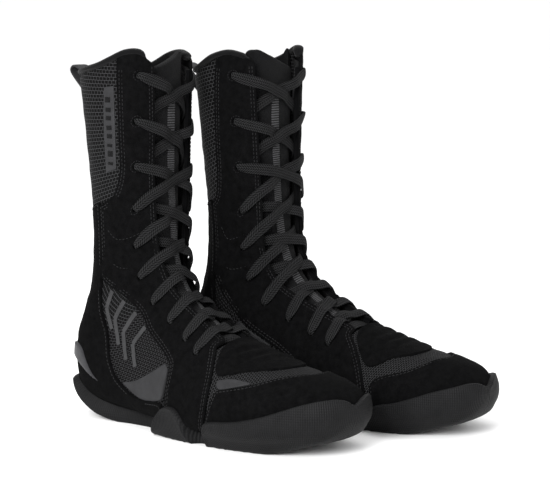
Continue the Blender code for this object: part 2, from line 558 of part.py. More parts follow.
def lace_path():
    """Way points of one lace: (v, signed share from the front line, offset, in-hole flag)."""
    left = [(v, t) for v, t in EYELETS_LATERAL]
    right = [(v, -t) for v, t in EYELETS_MEDIAL]
    out, low = LACE_OUTSIDE, LACE_INSIDE

    def strand(on_left):
        own, other = (left, right) if on_left else (right, left)
        high = on_left
        pts = [(*own[9], low + 0.3, 1), (*own[9], out - 0.3, 1)]
        for row in range(9, 0, -1):
            a = own[row]
            b = other[row - 1]
            over = -1.3 if high else -4.0
            starts_out = row >= 3
            ends_out = row <= 3
            if starts_out and ends_out:
                over += 1.6
            first = out if starts_out else low
            last = out if ends_out else low
            stops = [(0.12, first), (0.33, first), (0.43, over), (0.57, over), (0.67, last), (0.88, last)]
            if starts_out:
                stops.insert(1, (0.225, first))
            if ends_out:
                stops.insert(-1, (0.775, last))
            for s, off in stops:
                pts.append((a[0] + (b[0] - a[0]) * s, a[1] + (b[1] - a[1]) * s, off, 0))
            ends = [(*b, out - 0.3, 1), (*b, low + 0.3, 1)]
            pts += ends if ends_out else ends[::-1]
            own, other = other, own
        v, t = own[0]
        turn = 1 if t > 0 else -1
        for dv, dt in ((0.000, 0.018), (-0.004, 0.036), (-0.013, 0.046), (-0.022, 0.047)):
            pts.append((v + dv, t - turn * dt, low, 0))
        return pts

    one = strand(True)
    two = strand(False)
    a = left[9]
    b = right[9]
    bar = [(a[0] + (b[0] - a[0]) * s - 0.004, a[1] + (b[1] - a[1]) * s, low, 0)
           for s in (0.12, 0.3, 0.5, 0.7, 0.88)]
    return one[::-1] + bar + two


def lace_and_trim(boot, root, made):
    way = lace_path()
    v = np.array([p[0] for p in way])
    u = np.array([p[1] for p in way])
    w = np.where(u >= 0, 1 - u, -1 - u)
    off = np.array([p[2] for p in way])
    off += np.where(off > 0, 1.5, 0) * np.exp(-((v - 0.68) / 0.1) ** 2)
    hole = np.array([p[3] for p in way])
    pts = FORM.place(v, w, off)
    nrm = FORM.normal(v, w)
    up = unit(FORM.point(v + 0.006, w) - FORM.point(v - 0.006, w))
    tan = unit(np.gradient(pts, axis=0))
    flat = unit(tan - nrm * (tan * nrm).sum(axis=1, keepdims=True) * 0.98)
    wide = np.where(hole[:, None] > 0, up, unit(np.cross(nrm, flat)))
    wide = unit(wide - tan * (wide * tan).sum(axis=1, keepdims=True))
    for i in range(1, len(wide)):
        if (wide[i] * wide[i - 1]).sum() < 0:
            wide[i] *= -1
    thick = unit(np.cross(tan, wide))
    widths = np.where(hole > 0, 2.8, LACE_WIDTH)
    depths = np.where(hole > 0, 1.2, LACE_THICK)
    verts, faces = sweep(pts, wide, thick, widths, depths)
    made["lace"] = add(boot + "_lace", verts, faces, boot, "lace", root)
    for name, i, j in (("aglet_lateral", 0, 1), ("aglet_medial", -1, -2)):
        way_out = unit(unit(pts[i] - pts[j]) - nrm[i] * 0.06)
        ends = [pts[i] + way_out * s for s in (0.5, 14.5)]
        side = unit(np.cross(way_out, nrm[i]))
        face = unit(np.cross(way_out, side))
        verts, faces = sweep(np.array(ends), [side] * 2, [face] * 2, (3.4, 3.0), (2.2, 2.0))
        made[name] = add(boot + "_" + name, verts, faces, boot, "trim", root)

    # Rounded binding along the collar.
    loop = rounded(COLLAR, 7.0)
    cut = [p for p in loop if -0.73 < p[1] < 0.875]
    k = max(range(len(cut)), key=lambda i: np.linalg.norm(FORM.point(*cut[i]) - FORM.point(*cut[i - 1])))
    cut = np.array(cut[k:] + cut[:k])
    # The strap of the collar stays clear of the panels below it.
    path = FORM.place(cut[:, 0] + 0.005, cut[:, 1], -2.4)
    nrm = FORM.normal(cut[:, 0], cut[:, 1])
    tan = unit(np.gradient(path, axis=0))
    up = unit(np.cross(nrm, tan))
    verts, faces = sweep(path, nrm, up, [7.6] * len(path), [4.2] * len(path), ROUND_BAND)
    made["collar_binding"] = add(boot + "_collar_binding", verts, faces, boot, "suede", root)

    # Folded pull loop on the back centre line.
    loop = [(-0.6, 246.0), (-2.5, 252.0), (-8.5, 260.0), (-17.0, 268.0), (-22.5, 273.5), (-24.8, 278.0),
            (-22.6, 280.6), (-17.5, 279.6), (-10.0, 276.6), (-4.2, 274.2), (-1.6, 271.0), (-1.2, 264.0)]
    back = float(FORM.place(np.array(1.0), np.array(0.0), 0.4)[1])
    path = np.array([(0.0, y + back - 1.6, z) for y, z in loop])
    tan = unit(np.gradient(path, axis=0))
    side = np.array([(1.0, 0.0, 0.0)] * len(path))
    verts, faces = sweep(path, side, np.cross(tan, side), [LOOP_WIDTH] * len(path), [1.6] * len(path))
    hinge = to_world([path[0]], boot)[0]
    made["pull_loop"] = add(boot + "_pull_loop", verts, faces, boot, "trim", root, hinge)


for old in list(bpy.data.objects):
    bpy.data.objects.remove(old, do_unlink=True)
MATERIALS = {
    "rubber": material("rubber", (0.055, 0.055, 0.06), 0.6),
    "clip": material("clip", (0.12, 0.12, 0.125), 0.4),
    "board": material("board", (0.5, 0.45, 0.36), 0.9),
    "insole": material("insole", (0.03, 0.03, 0.032), 0.9),
    "lining": material("lining", (0.012, 0.012, 0.013), 0.95),
    "mesh": material("mesh", (0.02, 0.02, 0.022), 0.8),
    "suede": material("suede", (0.009, 0.009, 0.01), 0.95),
    "accent": material("accent", (0.06, 0.06, 0.065), 0.6),
    "trim": material("trim", (0.015, 0.015, 0.016), 0.5),
    "lace": material("lace", (0.018, 0.018, 0.02), 0.85),
}
for which in PLACES:
    build_boot(which)
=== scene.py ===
"""Looks of a pair of tall lace-up boxing boots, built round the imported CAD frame.

The pieces are made in one boot's own space, in millimetres: x to the outer side, y forward from
the heel, z up.  A place on the foot-and-shaft form is (v, w): v runs from the toe tip (0) over the
heel to the collar, and w round the section from the back or bottom centre line (0) to the front
or top centre line (1 on the outer side, -1 on the inner side).
"""
import math

import bmesh
import bpy
import numpy as np
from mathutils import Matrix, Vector, kdtree
from mathutils.geometry import delaunay_2d_cdt


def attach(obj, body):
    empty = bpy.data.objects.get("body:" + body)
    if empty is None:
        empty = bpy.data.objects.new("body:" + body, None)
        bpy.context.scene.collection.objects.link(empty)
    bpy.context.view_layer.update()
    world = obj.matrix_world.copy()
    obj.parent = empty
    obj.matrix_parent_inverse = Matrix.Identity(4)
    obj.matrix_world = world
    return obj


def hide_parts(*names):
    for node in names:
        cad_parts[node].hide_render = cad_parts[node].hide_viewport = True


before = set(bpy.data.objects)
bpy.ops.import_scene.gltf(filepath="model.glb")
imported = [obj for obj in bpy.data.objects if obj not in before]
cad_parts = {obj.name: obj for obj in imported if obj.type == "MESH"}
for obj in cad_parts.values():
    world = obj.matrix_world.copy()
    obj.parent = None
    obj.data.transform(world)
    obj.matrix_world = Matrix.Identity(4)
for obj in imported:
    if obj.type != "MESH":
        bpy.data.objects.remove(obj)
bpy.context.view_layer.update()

# Offsets from the form, mm, as in the CAD.
INSOLE = (-11.9, -8.9)
LINING = (-7.7, -6.6)
BASE = (-3.4, -1.2)
SUEDE = (0.0, 1.4)
SOLE_WALL = (1.3, 5.2)
TONGUE = (-10.6, -7.8)
EYELET_RADIUS = 2.5
LOOP_WIDTH = 14.0
TOE_TURN = 232.0
TOE_RADIUS = 50.0
HEEL_TURN = 36.0
# Each boot's side, the place of its heel point in x and y, mm, and its outward turn, degrees.
PLACES = {"right": (-1, -44.546, 154.522, 4.2), "left": (1, 48.954, 117.022, 2.9)}

# Section stations: v, back y, back z, front y, front z, lateral and medial half width,
# centre x, height share of the widest place, and the roundness below and above it.
STATIONS = [
    (0.00, 279.5, 35, 279.5, 35, 0, 0, -4, 0.50, 2.20, 2.20),
    (0.01, 277.5, 27, 278.5, 41, 14, 13, -4, 0.45, 2.30, 2.20),
    (0.04, 271, 20.5, 274, 47, 26, 24, -4, 0.40, 2.60, 2.20),
    (0.11, 250.5, 14, 258.5, 55, 40, 36, -3, 0.34, 3.20, 2.20),
    (0.21, 209.5, 9.5, 223.5, 62, 50, 44, -1, 0.30, 3.60, 2.20),
    (0.31, 165, 8, 189, 71, 50, 43, 0, 0.30, 3.60, 2.15),
    (0.41, 121, 9, 157.5, 83, 44, 38, 0, 0.30, 3.40, 2.15),
    (0.50, 76, 10.5, 136, 96, 38, 36, 0, 0.30, 3.20, 2.20),
    (0.56, 39, 12.5, 122, 106, 35, 35, 0, 0.30, 3.00, 2.25),
    (0.61, 14, 20, 112, 116, 33, 35, 0, 0.32, 2.80, 2.30),
    (0.66, 4.5, 40, 105, 128, 32, 35, 0, 0.36, 2.60, 2.35),
    (0.72, 8, 69, 100, 143, 31, 35, 0, 0.42, 2.40, 2.40),
    (0.78, 20, 100, 97, 162, 31, 36, 0, 0.46, 2.25, 2.45),
    (0.84, 25, 143, 95, 186, 33, 38, 0, 0.48, 2.15, 2.50),
    (0.91, 21.5, 192, 94, 216, 35, 41, 0, 0.48, 2.10, 2.55),
    (1.00, 15.5, 250, 94, 262, 38, 44, 0, 0.48, 2.10, 2.60),
    (1.10, 8, 305, 95, 309, 40, 46, 0, 0.48, 2.10, 2.60),
]


# ---------------------------------------------------------------- the form
def spline(xs, ys):
    """Natural cubic spline through a few points."""
    xs = np.asarray(xs, float)
    ys = np.asarray(ys, float)
    n = len(xs)
    h = np.diff(xs)
    a = np.eye(n)
    r = np.zeros(n)
    for i in range(1, n - 1):
        a[i, i - 1:i + 2] = (h[i - 1], 2 * (h[i - 1] + h[i]), h[i])
        r[i] = 6 * ((ys[i + 1] - ys[i]) / h[i] - (ys[i] - ys[i - 1]) / h[i - 1])
    m = np.linalg.solve(a, r)

    def value(x):
        x = np.asarray(x, float)
        i = np.clip(np.searchsorted(xs, x) - 1, 0, n - 2)
        p = (xs[i + 1] - x) / h[i]
        q = (x - xs[i]) / h[i]
        bend = ((p ** 3 - p) * m[i] + (q ** 3 - q) * m[i + 1]) * h[i] ** 2 / 6
        return p * ys[i] + q * ys[i + 1] + bend
    return value


def smooth(lo, hi, x):
    k = np.clip((np.asarray(x, float) - lo) / (hi - lo), 0, 1)
    return k * k * (3 - 2 * k)


def unit(a):
    a = np.asarray(a, float)
    return a / np.maximum(np.linalg.norm(a, axis=-1, keepdims=True), 1e-9)


def run_of(path):
    """Length along a path at each of its points."""
    return np.r_[0, np.cumsum(np.linalg.norm(np.diff(path, axis=0), axis=1))]


def wrap(w):
    w = np.asarray(w, float)
    return np.where(w > 1, w - 2, np.where(w < -1, w + 2, w))


class Form:
    """The foot-and-shaft form as a fine grid over (v, w), as in the CAD."""

    def __init__(self, rows=161, cols=61):
        table = np.array(STATIONS, float)
        root = np.sqrt(table[:, 0])
        curves = [spline(root, table[:, k]) for k in range(1, table.shape[1])]
        self.rows = rows - 1
        self.cols = cols - 1
        self.root = np.linspace(0, root[-1], rows)
        self.share = np.linspace(0, 1, cols)
        self.grid = np.zeros((2, rows, cols, 3))
        turn = np.linspace(np.pi, 0, 4 * cols - 3)
        cos = np.cos(turn)
        sin = np.clip(np.sin(turn), 0, 1)
        for i, q in enumerate(self.root):
            by, bz, fy, fz, wl, wm, xc, widest, low, high = [float(c(q)) for c in curves]
            power = np.where(turn <= np.pi / 2, low, high)
            reach = np.abs(cos) ** (2 / power)
            rise = np.where(turn <= np.pi / 2, widest * (1 - reach), widest + (1 - widest) * reach)
            for k, width in enumerate((max(wl, 0), -max(wm, 0))):
                line = np.stack([xc + width * sin ** (2 / power),
                                 by + (fy - by) * rise, bz + (fz - bz) * rise], 1)
                step = np.linalg.norm(np.diff(line, axis=0), axis=1) + 1e-9
                run = np.r_[0, np.cumsum(step)] / step.sum()
                for c in range(3):
                    self.grid[k, i, :, c] = np.interp(self.share, run, line[:, c])
        steps = np.linalg.norm(np.diff(self.grid, axis=2), axis=3).sum(axis=2)
        self.girth = steps.mean(axis=0)
        side = self.grid[0, :, self.cols // 2]
        self.along = run_of(side)

    def point(self, v, w):
        v = np.asarray(v, float)
        w = wrap(w)
        fi = np.clip(np.sqrt(np.clip(v, 0, None)) / self.root[-1] * self.rows, 0, self.rows - 0.001)
        fj = np.clip((1 - np.abs(w)) * self.cols, 0, self.cols - 0.001)
        i = fi.astype(int)
        j = fj.astype(int)
        a = (fi - i)[..., None]
        b = (fj - j)[..., None]
        k = (w < 0).astype(int)
        g = self.grid
        near = g[k, i, j] * (1 - b) + g[k, i, j + 1] * b
        far = g[k, i + 1, j] * (1 - b) + g[k, i + 1, j + 1] * b
        return near * (1 - a) + far * a

    def slopes(self, v, w):
        """Millimetres moved per unit of v and per unit of w."""
        v = np.asarray(v, float)
        lift = np.maximum(v, 0.0006)
        low = np.maximum(v - 0.006, 0.0004)
        gv = (self.point(lift + 0.006, w) - self.point(low, w)) / (lift + 0.006 - low)[..., None]
        gw = (self.point(v, w + 0.016) - self.point(v, w - 0.016)) / 0.032
        return gv, gw

    def normal(self, v, w):
        v = np.asarray(v, float)
        w = np.asarray(w, float)
        gv, gw = self.slopes(v, w)
        n = np.cross(gw, gv)
        tip = np.clip(1 - v / 0.003, 0, 1)[..., None]
        n = unit(n) * (1 - tip) + np.array((0, 1.0, 0)) * tip
        return unit(n)

    def place(self, v, w, off):
        off = np.asarray(off, float)[..., None] if np.ndim(off) else off
        return self.point(v, w) + self.normal(v, w) * off

    def size_at(self, v):
        fi = np.sqrt(np.clip(v, 0, None)) / self.root[-1] * self.rows
        at = np.arange(self.rows + 1)
        return np.interp(fi, at, self.girth), np.interp(fi, at, self.along)


FORM = Form()


def unroll(v, w):
    """A flat picture of the form in which no outline folds over itself."""
    v = np.maximum(np.asarray(v, float), 0)
    r = np.sqrt(v) * np.exp(8 * v)
    a = np.asarray(w, float) * np.pi
    return r * np.sin(a), -r * np.cos(a)


def lateral(*pts):
    """Outline points given as (v, share from the front centre line) on the outer side."""
    return [(v, 1 - t) for v, t in pts]


def medial(*pts):
    return [(v, t - 1) for v, t in pts]


def rounded(points, spacing=1.8, corner=(), closed=True):
    """A smooth curve through (v, w) points, sampled about every `spacing` mm."""
    pts = np.array(points, float)
    n = len(pts)
    out = []
    for i in range(n if closed else n - 1):
        ids = [(i - 1) % n, i, (i + 1) % n, (i + 2) % n]
        if not closed:
            ids = [max(i - 1, 0), i, i + 1, min(i + 2, n - 1)]
        p0, p1, p2, p3 = (pts[k].copy() for k in ids)
        for p in (p0, p2, p3):
            if p[1] - p1[1] > 1:
                p[1] -= 2
            if p[1] - p1[1] < -1:
                p[1] += 2
        if i in corner:
            p0 = 2 * p1 - p2
        if (i + 1) % n in corner:
            p3 = 2 * p2 - p1
        span = np.linalg.norm(FORM.point(*p1) - FORM.point(*p2))
        count = max(1, int(round(span / spacing)))
        for s in np.arange(count) / count:
            m1 = (p2 - p0) / 2
            m2 = (p3 - p1) / 2
            h = (2 * s ** 3 - 3 * s * s + 1, s ** 3 - 2 * s * s + s, -2 * s ** 3 + 3 * s * s, s ** 3 - s * s)
            q = p1 * h[0] + m1 * h[1] + p2 * h[2] + m2 * h[3]
            out.append((max(q[0], 0.0), float(wrap(q[1]))))
    if not closed:
        out.append(tuple(pts[-1]))
    return out


def inside(px, py, loop):
    """Which of the flat points lie inside a closed flat loop."""
    x, y = np.array(loop).T
    x2 = np.roll(x, -1)
    y2 = np.roll(y, -1)
    hit = np.zeros(len(px), bool)
    for a, b, c, d in zip(x, y, x2, y2):
        if b == d:
            continue
        cross = (b > py) != (d > py)
        hit ^= cross & (px < (c - a) * (py - b) / (d - b) + a)
    return hit


def flat(loop):
    v, w = np.array(loop).T
    return np.stack(unroll(v, w), 1)


def shift(v, w, way, dist):
    """Moves places on the form by `dist` mm along 3-D directions that lie in its surface."""
    gv, gw = FORM.slopes(v, w)
    a = (gv * gv).sum(-1)
    b = (gv * gw).sum(-1)
    c = (gw * gw).sum(-1)
    p = (gv * way).sum(-1)
    q = (gw * way).sum(-1)
    det = np.maximum(a * c - b * b, 1e-6)
    return v + (c * p - b * q) / det * dist, wrap(w + (a * q - b * p) / det * dist)


def tree_of(points):
    tree = kdtree.KDTree(len(points))
    for i, p in enumerate(points):
        tree.insert(p, i)
    tree.balance()
    return tree


def gap_to(tree, points):
    """Distance from each point to the nearest one in the tree."""
    return np.array([tree.find(p)[2] for p in points])


def inset(loop, dist):
    """The loop moved inwards by dist mm, without the points that come too near another edge."""
    v, w = np.array(loop).T
    p = FORM.point(v, w)
    tan = np.roll(p, -1, 0) - np.roll(p, 1, 0)
    way = unit(np.cross(FORM.normal(v, w), unit(tan)))
    if inside(*unroll(*shift(v, w, way, 1.2)), flat(loop)).mean() < 0.5:
        way = -way
    nv, nw = shift(v, w, way, dist)
    nv = np.maximum(nv, 0.0)
    ok = gap_to(tree_of(p), FORM.point(nv, nw)) > 0.86 * abs(dist)
    return nv, nw, ok


def grown(loop, dist):
    """The loop moved outwards by dist mm."""
    v, w, ok = inset(loop, -dist)
    return [(a, b) for a, b, c in zip(v, w, ok) if c]


# ---------------------------------------------------------------- pieces
def to_world(pts, boot):
    sign, x0, y0, turn = PLACES[boot]
    p = np.asarray(pts, float)
    x = sign * p[:, 0]
    y = -p[:, 1]
    a = math.radians(turn) * sign
    out = np.stack([math.cos(a) * x - math.sin(a) * y + x0,
                    math.sin(a) * x + math.cos(a) * y + y0, p[:, 2]], 1)
    return out / 1000


def add(part, verts, faces, mat, body="boot", uvs=None, sharp=40, stands_for=None, rec_slot=None):
    """Makes the piece on both boots; the right one is the mirror image of the left."""
    made = []
    for boot in PLACES:
        mesh = bpy.data.meshes.new(boot + "_" + part)
        ordered = [f[::-1] for f in faces] if PLACES[boot][0] > 0 else faces
        mesh.from_pydata(to_world(verts, boot).tolist(), [], [list(map(int, f)) for f in ordered])
        if uvs is not None:
            layer = mesh.uv_layers.new(name="mm")
            loops = np.zeros(len(mesh.loops), np.int32)
            mesh.loops.foreach_get("vertex_index", loops)
            layer.data.foreach_set("uv", np.asarray(uvs, np.float32)[loops].ravel())
        mesh.validate()
        mesh.shade_smooth()
        if sharp:
            mesh.set_sharp_from_angle(angle=math.radians(sharp))
        mesh.materials.append(mat)
        obj = bpy.data.objects.new(boot + "_" + part + "_piece", mesh)
        bpy.context.scene.collection.objects.link(obj)
        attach(obj, boot + "_" + body)
        node = part if stands_for is None else stands_for
        if node:
            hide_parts(boot + "_" + node)
        made.append(obj)
    return made


def noise(p, size, seed=0, octaves=2):
    """Smooth repeatable noise at 3-D points, about -1 to 1, with lumps about `size` mm across."""
    total = np.zeros(len(p))
    rng = np.random.default_rng(seed)
    for k in range(octaves):
        for _ in range(7):
            way = unit(rng.normal(size=3)) * 2 * np.pi / size * (1.9 ** k) * rng.uniform(0.6, 1.4)
            total += np.sin(p @ way + rng.uniform(0, 6.3)) * 0.38 * 0.5 ** k
    return total


def lattice(step):
    """Inner points about `step` mm apart."""
    out = []
    v = 0.003
    row = 0
    while v < 1.1:
        girth, _ = FORM.size_at(v)
        count = max(6, int(round(girth * 2 / step)))
        for k in range(count):
            out.append((v, -1 + (k + 0.5 * (row % 2)) * 2 / count))
        gv, _ = FORM.slopes(np.array([v]), np.array([0.5]))
        v += step * 0.87 / float(np.linalg.norm(gv))
        row += 1
    return np.array(out)


LATTICES = {}


def signed(w):
    """Share from the front centre line: positive on the outer side, negative on the inner one."""
    return np.where(w >= 0, 1 - w, -1 - w)


def round_the_rim(points):
    """Way along the sole's rim, mm, turning about a centre at the toe and one at the heel."""
    x, y = points[:, 0], points[:, 1]
    toe = np.arctan2(np.maximum(y - TOE_TURN, 0), np.abs(x + 3) + 1e-6)
    heel = np.arctan2(np.maximum(HEEL_TURN - y, 0), np.abs(x) + 1e-6)
    return np.clip(y, HEEL_TURN, TOE_TURN) + TOE_RADIUS * toe - HEEL_TURN * heel


def between(x, y, flats):
    """Which flat points lie inside the first loop and outside the others."""
    ok = inside(x, y, flats[0])
    for hole in flats[1:]:
        ok &= ~inside(x, y, hole)
    return ok


def panel(part, outline, inner, outer, mat, holes=(), edge=0.8, step=3.2, relief=None, uv="u", floor=None,
          grow=0.0, spacing=1.8, corner=(), pinch=0.3, **kw):
    """A closed panel between two offsets of the form, with a rounded edge and relief on its face."""
    loop = rounded(outline, spacing, corner)
    if grow:
        loop = grown(loop, grow)
    loops = [loop] + list(holes)
    vw = [p for one in loops for p in one]
    dist = [0.0] * len(vw)
    tree = tree_of(FORM.point(*np.array(vw).T))
    flats = [flat(one) for one in loops]
    shares = (0.35, 1.1, 2.6) if edge < 1.5 else (0.3, 0.75, 1.3)
    rows = [share * edge for share in shares]
    for k, one in enumerate(loops):
        for d in rows:
            nv, nw, ok = inset(one, d if k == 0 else -d)
            ok &= between(*unroll(nv, nw), flats)
            ok &= gap_to(tree, FORM.point(nv, nw)) > 0.8 * d
            vw += [(a, b) for a, b, c in zip(nv, nw, ok) if c]
            dist += [d] * int(ok.sum())
    if step not in LATTICES:
        LATTICES[step] = lattice(step)
    grid = LATTICES[step]
    grid = grid[between(*unroll(grid[:, 0], grid[:, 1]), flats)]
    near = gap_to(tree, FORM.point(grid[:, 0], grid[:, 1]))
    keep = near > rows[-1] + 0.45 * step
    vw += [tuple(p) for p in grid[keep]]
    dist += list(near[keep])
    fx, fy = unroll(*np.array(vw).T)
    ids = []
    start = 0
    for one in loops:
        ids.append(list(range(start, start + len(one))))
        start += len(one)
    edges = [(a, b) for one in ids for a, b in zip(one, one[1:] + one[:1])]
    res = delaunay_2d_cdt(list(zip(fx, fy)), edges, [], 0, 1e-10)
    origin = [o[0] if o else None for o in res[3]]
    tris = np.array([[origin[i] for i in t] for t in res[2] if all(origin[i] is not None for i in t)])
    ok = between(fx[tris].mean(axis=1), fy[tris].mean(axis=1), flats)
    pts = np.stack([fx, fy], 1)
    a, b, c = (pts[tris[:, k]] for k in range(3))
    area = (b[:, 0] - a[:, 0]) * (c[:, 1] - a[:, 1]) - (b[:, 1] - a[:, 1]) * (c[:, 0] - a[:, 0])
    longest = np.max([((p - q) ** 2).sum(axis=1) for p, q in ((a, b), (b, c), (c, a))], axis=0)
    ok &= np.abs(area) > 1e-5 * longest
    tris = tris[ok]
    area = area[ok]
    v, w = np.array(vw).T
    d = np.array(dist)
    low = np.full(len(v), inner, float) if not callable(inner) else inner(v, w)
    top = np.full(len(v), outer, float) if not callable(outer) else outer(v, w)
    k = np.clip(d / edge, 0, 1)
    top = low + (top - low) * (pinch + (1 - pinch) * np.sqrt(np.clip(1 - (1 - k) ** 2, 0, 1)))
    if relief is not None:
        top = top + relief(v, w, d) * smooth(0.0, 1.0, d / edge)
    up = FORM.place(v, w, top)
    down = FORM.place(v, w, low)
    if floor is not None:
        up[:, 2] = np.maximum(up[:, 2], floor)
    n = len(v)
    faces = []
    rim = {}
    for tri, s in zip(tris.tolist(), area):
        t = tri if s < 0 else [tri[0], tri[2], tri[1]]
        faces.append(t)
        faces.append([t[2] + n, t[1] + n, t[0] + n])
        for p, q in ((t[0], t[1]), (t[1], t[2]), (t[2], t[0])):
            rim[(p, q)] = True
    for p, q in list(rim):
        if (q, p) not in rim:
            faces.append([q, p, p + n, q + n])
    girth, along = FORM.size_at(v)
    across = (signed(w) if uv == "u" else w) * girth
    uvs = np.stack([across, along], 1)
    if uv == "rim":
        uvs = np.stack([up[:, 2], round_the_rim(up)], 1)
    verts = np.concatenate([up, down])
    made = add(part, verts, faces, mat, uvs=np.concatenate([uvs, uvs]), **kw)
    return made, loop


def sweep(path, wide, thick, widths, depths, shape):
    """A band along a path. Returns vertices, faces and UVs in mm."""
    shape = np.array(shape, float)
    k = len(shape)
    n = len(path)
    run = run_of(path)
    verts = (path[:, None] + wide[:, None] * (shape[None, :, :1] * widths[:, None, None])
             + thick[:, None] * (shape[None, :, 1:] * depths[:, None, None]))
    uvs = np.stack([shape[None, :, 0] * widths[:, None], np.repeat(run[:, None], k, 1)], 2)
    faces = []
    for i in range(n - 1):
        for j in range(k):
            m = (j + 1) % k
            faces.append([i * k + j, i * k + m, (i + 1) * k + m, (i + 1) * k + j])
    faces.append(list(range(k))[::-1])
    faces.append([(n - 1) * k + j for j in range(k)])
    return verts.reshape(-1, 3), faces, uvs.reshape(-1, 2)


def ring(sides, power=2.0):
    out = []
    for i in range(sides):
        a = 2 * math.pi * (i + 0.5) / sides
        x = abs(math.cos(a)) ** (2 / power) * math.copysign(0.5, math.cos(a))
        y = abs(math.sin(a)) ** (2 / power) * math.copysign(0.5, math.sin(a))
        out.append((x, y))
    return out


def smooth_path(points, step):
    """A smooth curve through points of any width, with samples about `step` apart in the first three."""
    p = np.array(points, float)
    run = np.r_[0, np.cumsum(np.linalg.norm(np.diff(p[:, :3], axis=0), axis=1) + 1e-6)]
    curves = [spline(run, p[:, k]) for k in range(p.shape[1])]
    s = np.linspace(0, run[-1], max(3, int(run[-1] / step)))
    return np.stack([c(s) for c in curves], 1)


# ---------------------------------------------------------------- materials
class Mat:
    """A Principled material with short helpers for its nodes."""

    def __init__(self, name, colour, rough, sheen=0.0, specular=0.5):
        self.mat = bpy.data.materials.new(name)
        self.mat.use_nodes = True
        self.tree = self.mat.node_tree
        self.shader = self.tree.nodes["Principled BSDF"]
        self.shader.inputs["Base Color"].default_value = (*colour, 1)
        self.shader.inputs["Roughness"].default_value = rough
        self.shader.inputs["Specular IOR Level"].default_value = specular
        self.shader.inputs["Sheen Weight"].default_value = sheen
        self.colour = colour

    def node(self, kind, **settings):
        node = self.tree.nodes.new("ShaderNode" + kind)
        for key, value in settings.items():
            if key in node.inputs:
                node.inputs[key].default_value = value
            else:
                setattr(node, key, value)
        return node

    def join(self, a, b):
        self.tree.links.new(a, b)

    def calc(self, op, a, b=0.0):
        node = self.node("Math", operation=op)
        for k, value in enumerate((a, b)):
            if isinstance(value, (int, float)):
                node.inputs[k].default_value = value
            else:
                self.join(value, node.inputs[k])
        return node.outputs[0]

    def place(self):
        """Object coordinates in millimetres."""
        coord = self.node("TexCoord").outputs["Object"]
        scale = self.node("VectorMath", operation="SCALE", Scale=1000.0)
        self.join(coord, scale.inputs[0])
        return scale.outputs[0]

    def uv(self):
        node = self.node("UVMap", uv_map="mm")
        split = self.node("SeparateXYZ")
        self.join(node.outputs[0], split.inputs[0])
        return split.outputs[0], split.outputs[1]

    def wave(self, across, pitch):
        return self.calc("SINE", self.calc("MULTIPLY", across, 2 * math.pi / pitch))

    def scaled(self, value, share, base=0.0):
        out = self.calc("MULTIPLY", value, share)
        return self.calc("ADD", out, base) if base else out

    def blend(self, a, b, share):
        """A mix of two heights, with `share` of the first."""
        return self.calc("ADD", self.scaled(a, share), self.scaled(b, round(1 - share, 6)))

    def lumps(self, size, detail=2.0, rough=0.5):
        node = self.node("TexNoise", Scale=1.0 / size, Detail=detail, Roughness=rough)
        self.join(self.place(), node.inputs["Vector"])
        return node.outputs["Fac"]

    def ramp(self, fac, stops):
        node = self.node("ValToRGB")
        ramp = node.color_ramp
        while len(ramp.elements) < len(stops):
            ramp.elements.new(0.5)
        for one, (at, colour) in zip(ramp.elements, stops):
            one.position = at
            one.color = (*colour, 1)
        self.join(fac, node.inputs[0])
        return node.outputs[0]

    def paint(self, fac, dark, light, lo=0.3, hi=0.7):
        c = np.array(self.colour)
        stops = [(lo, tuple(c * dark)), (hi, tuple(c * light))]
        self.join(self.ramp(fac, stops), self.shader.inputs["Base Color"])

    def bump(self, height, mm, strength=1.0):
        node = self.node("Bump", Strength=strength, Distance=mm / 1000)
        if self.shader.inputs["Normal"].is_linked:
            old = self.shader.inputs["Normal"].links[0].from_socket
            self.join(old, node.inputs["Normal"])
        self.join(height, node.inputs["Height"])
        self.join(node.outputs[0], self.shader.inputs["Normal"])

    def rough(self, fac, lo, hi):
        node = self.node("MapRange")
        node.inputs["To Min"].default_value = lo
        node.inputs["To Max"].default_value = hi
        self.join(fac, node.inputs["Value"])
        self.join(node.outputs[0], self.shader.inputs["Roughness"])


def suede():
    m = Mat("suede", (0.0022, 0.0022, 0.0023), 0.9, sheen=0.005, specular=0.008)
    nap = m.lumps(5.0, 4.0, 0.62)
    grain = m.lumps(0.55, 3.0, 0.7)
    m.paint(m.blend(nap, grain, 0.65), 0.6, 1.55, 0.34, 0.68)
    m.bump(grain, 0.28, 0.9)
    m.bump(m.lumps(3.2, 3.0), 0.25, 0.6)
    m.rough(nap, 0.8, 1.0)
    return m.mat


def knit(name, colour, cell=(2.3, 1.5), turn=0.0, depth=0.7):
    """Open sandwich mesh: staggered rows of small holes between rounded ribs. The holes are painted near
    black: partly the dark backing seen through them, partly painted shade.
    """
    m = Mat(name, colour, 0.75, sheen=0.01, specular=0.06)
    node = m.node("UVMap", uv_map="mm")
    spin = m.node("VectorRotate", rotation_type="Z_AXIS")
    spin.inputs["Angle"].default_value = turn
    m.join(node.outputs[0], spin.inputs["Vector"])
    brick = m.node("TexBrick", offset=0.5, Scale=1.0)
    brick.inputs["Brick Width"].default_value = cell[0]
    brick.inputs["Row Height"].default_value = cell[1]
    brick.inputs["Mortar Size"].default_value = 0.34
    brick.inputs["Mortar Smooth"].default_value = 0.9
    m.join(spin.outputs[0], brick.inputs["Vector"])
    rib = brick.outputs["Fac"]
    fibre = m.lumps(0.5, 2.0)
    rib_height_and_hole_shade = m.calc("MULTIPLY", rib, m.scaled(fibre, 0.5, 0.75))
    # Colour follows the rib height: painted shade in the holes, on top of the dark backing seen through
    # them.
    m.paint(rib_height_and_hole_shade, 0.03, 2.3, 0.12, 0.8)
    m.bump(rib_height_and_hole_shade, depth, 1.0)
    return m.mat


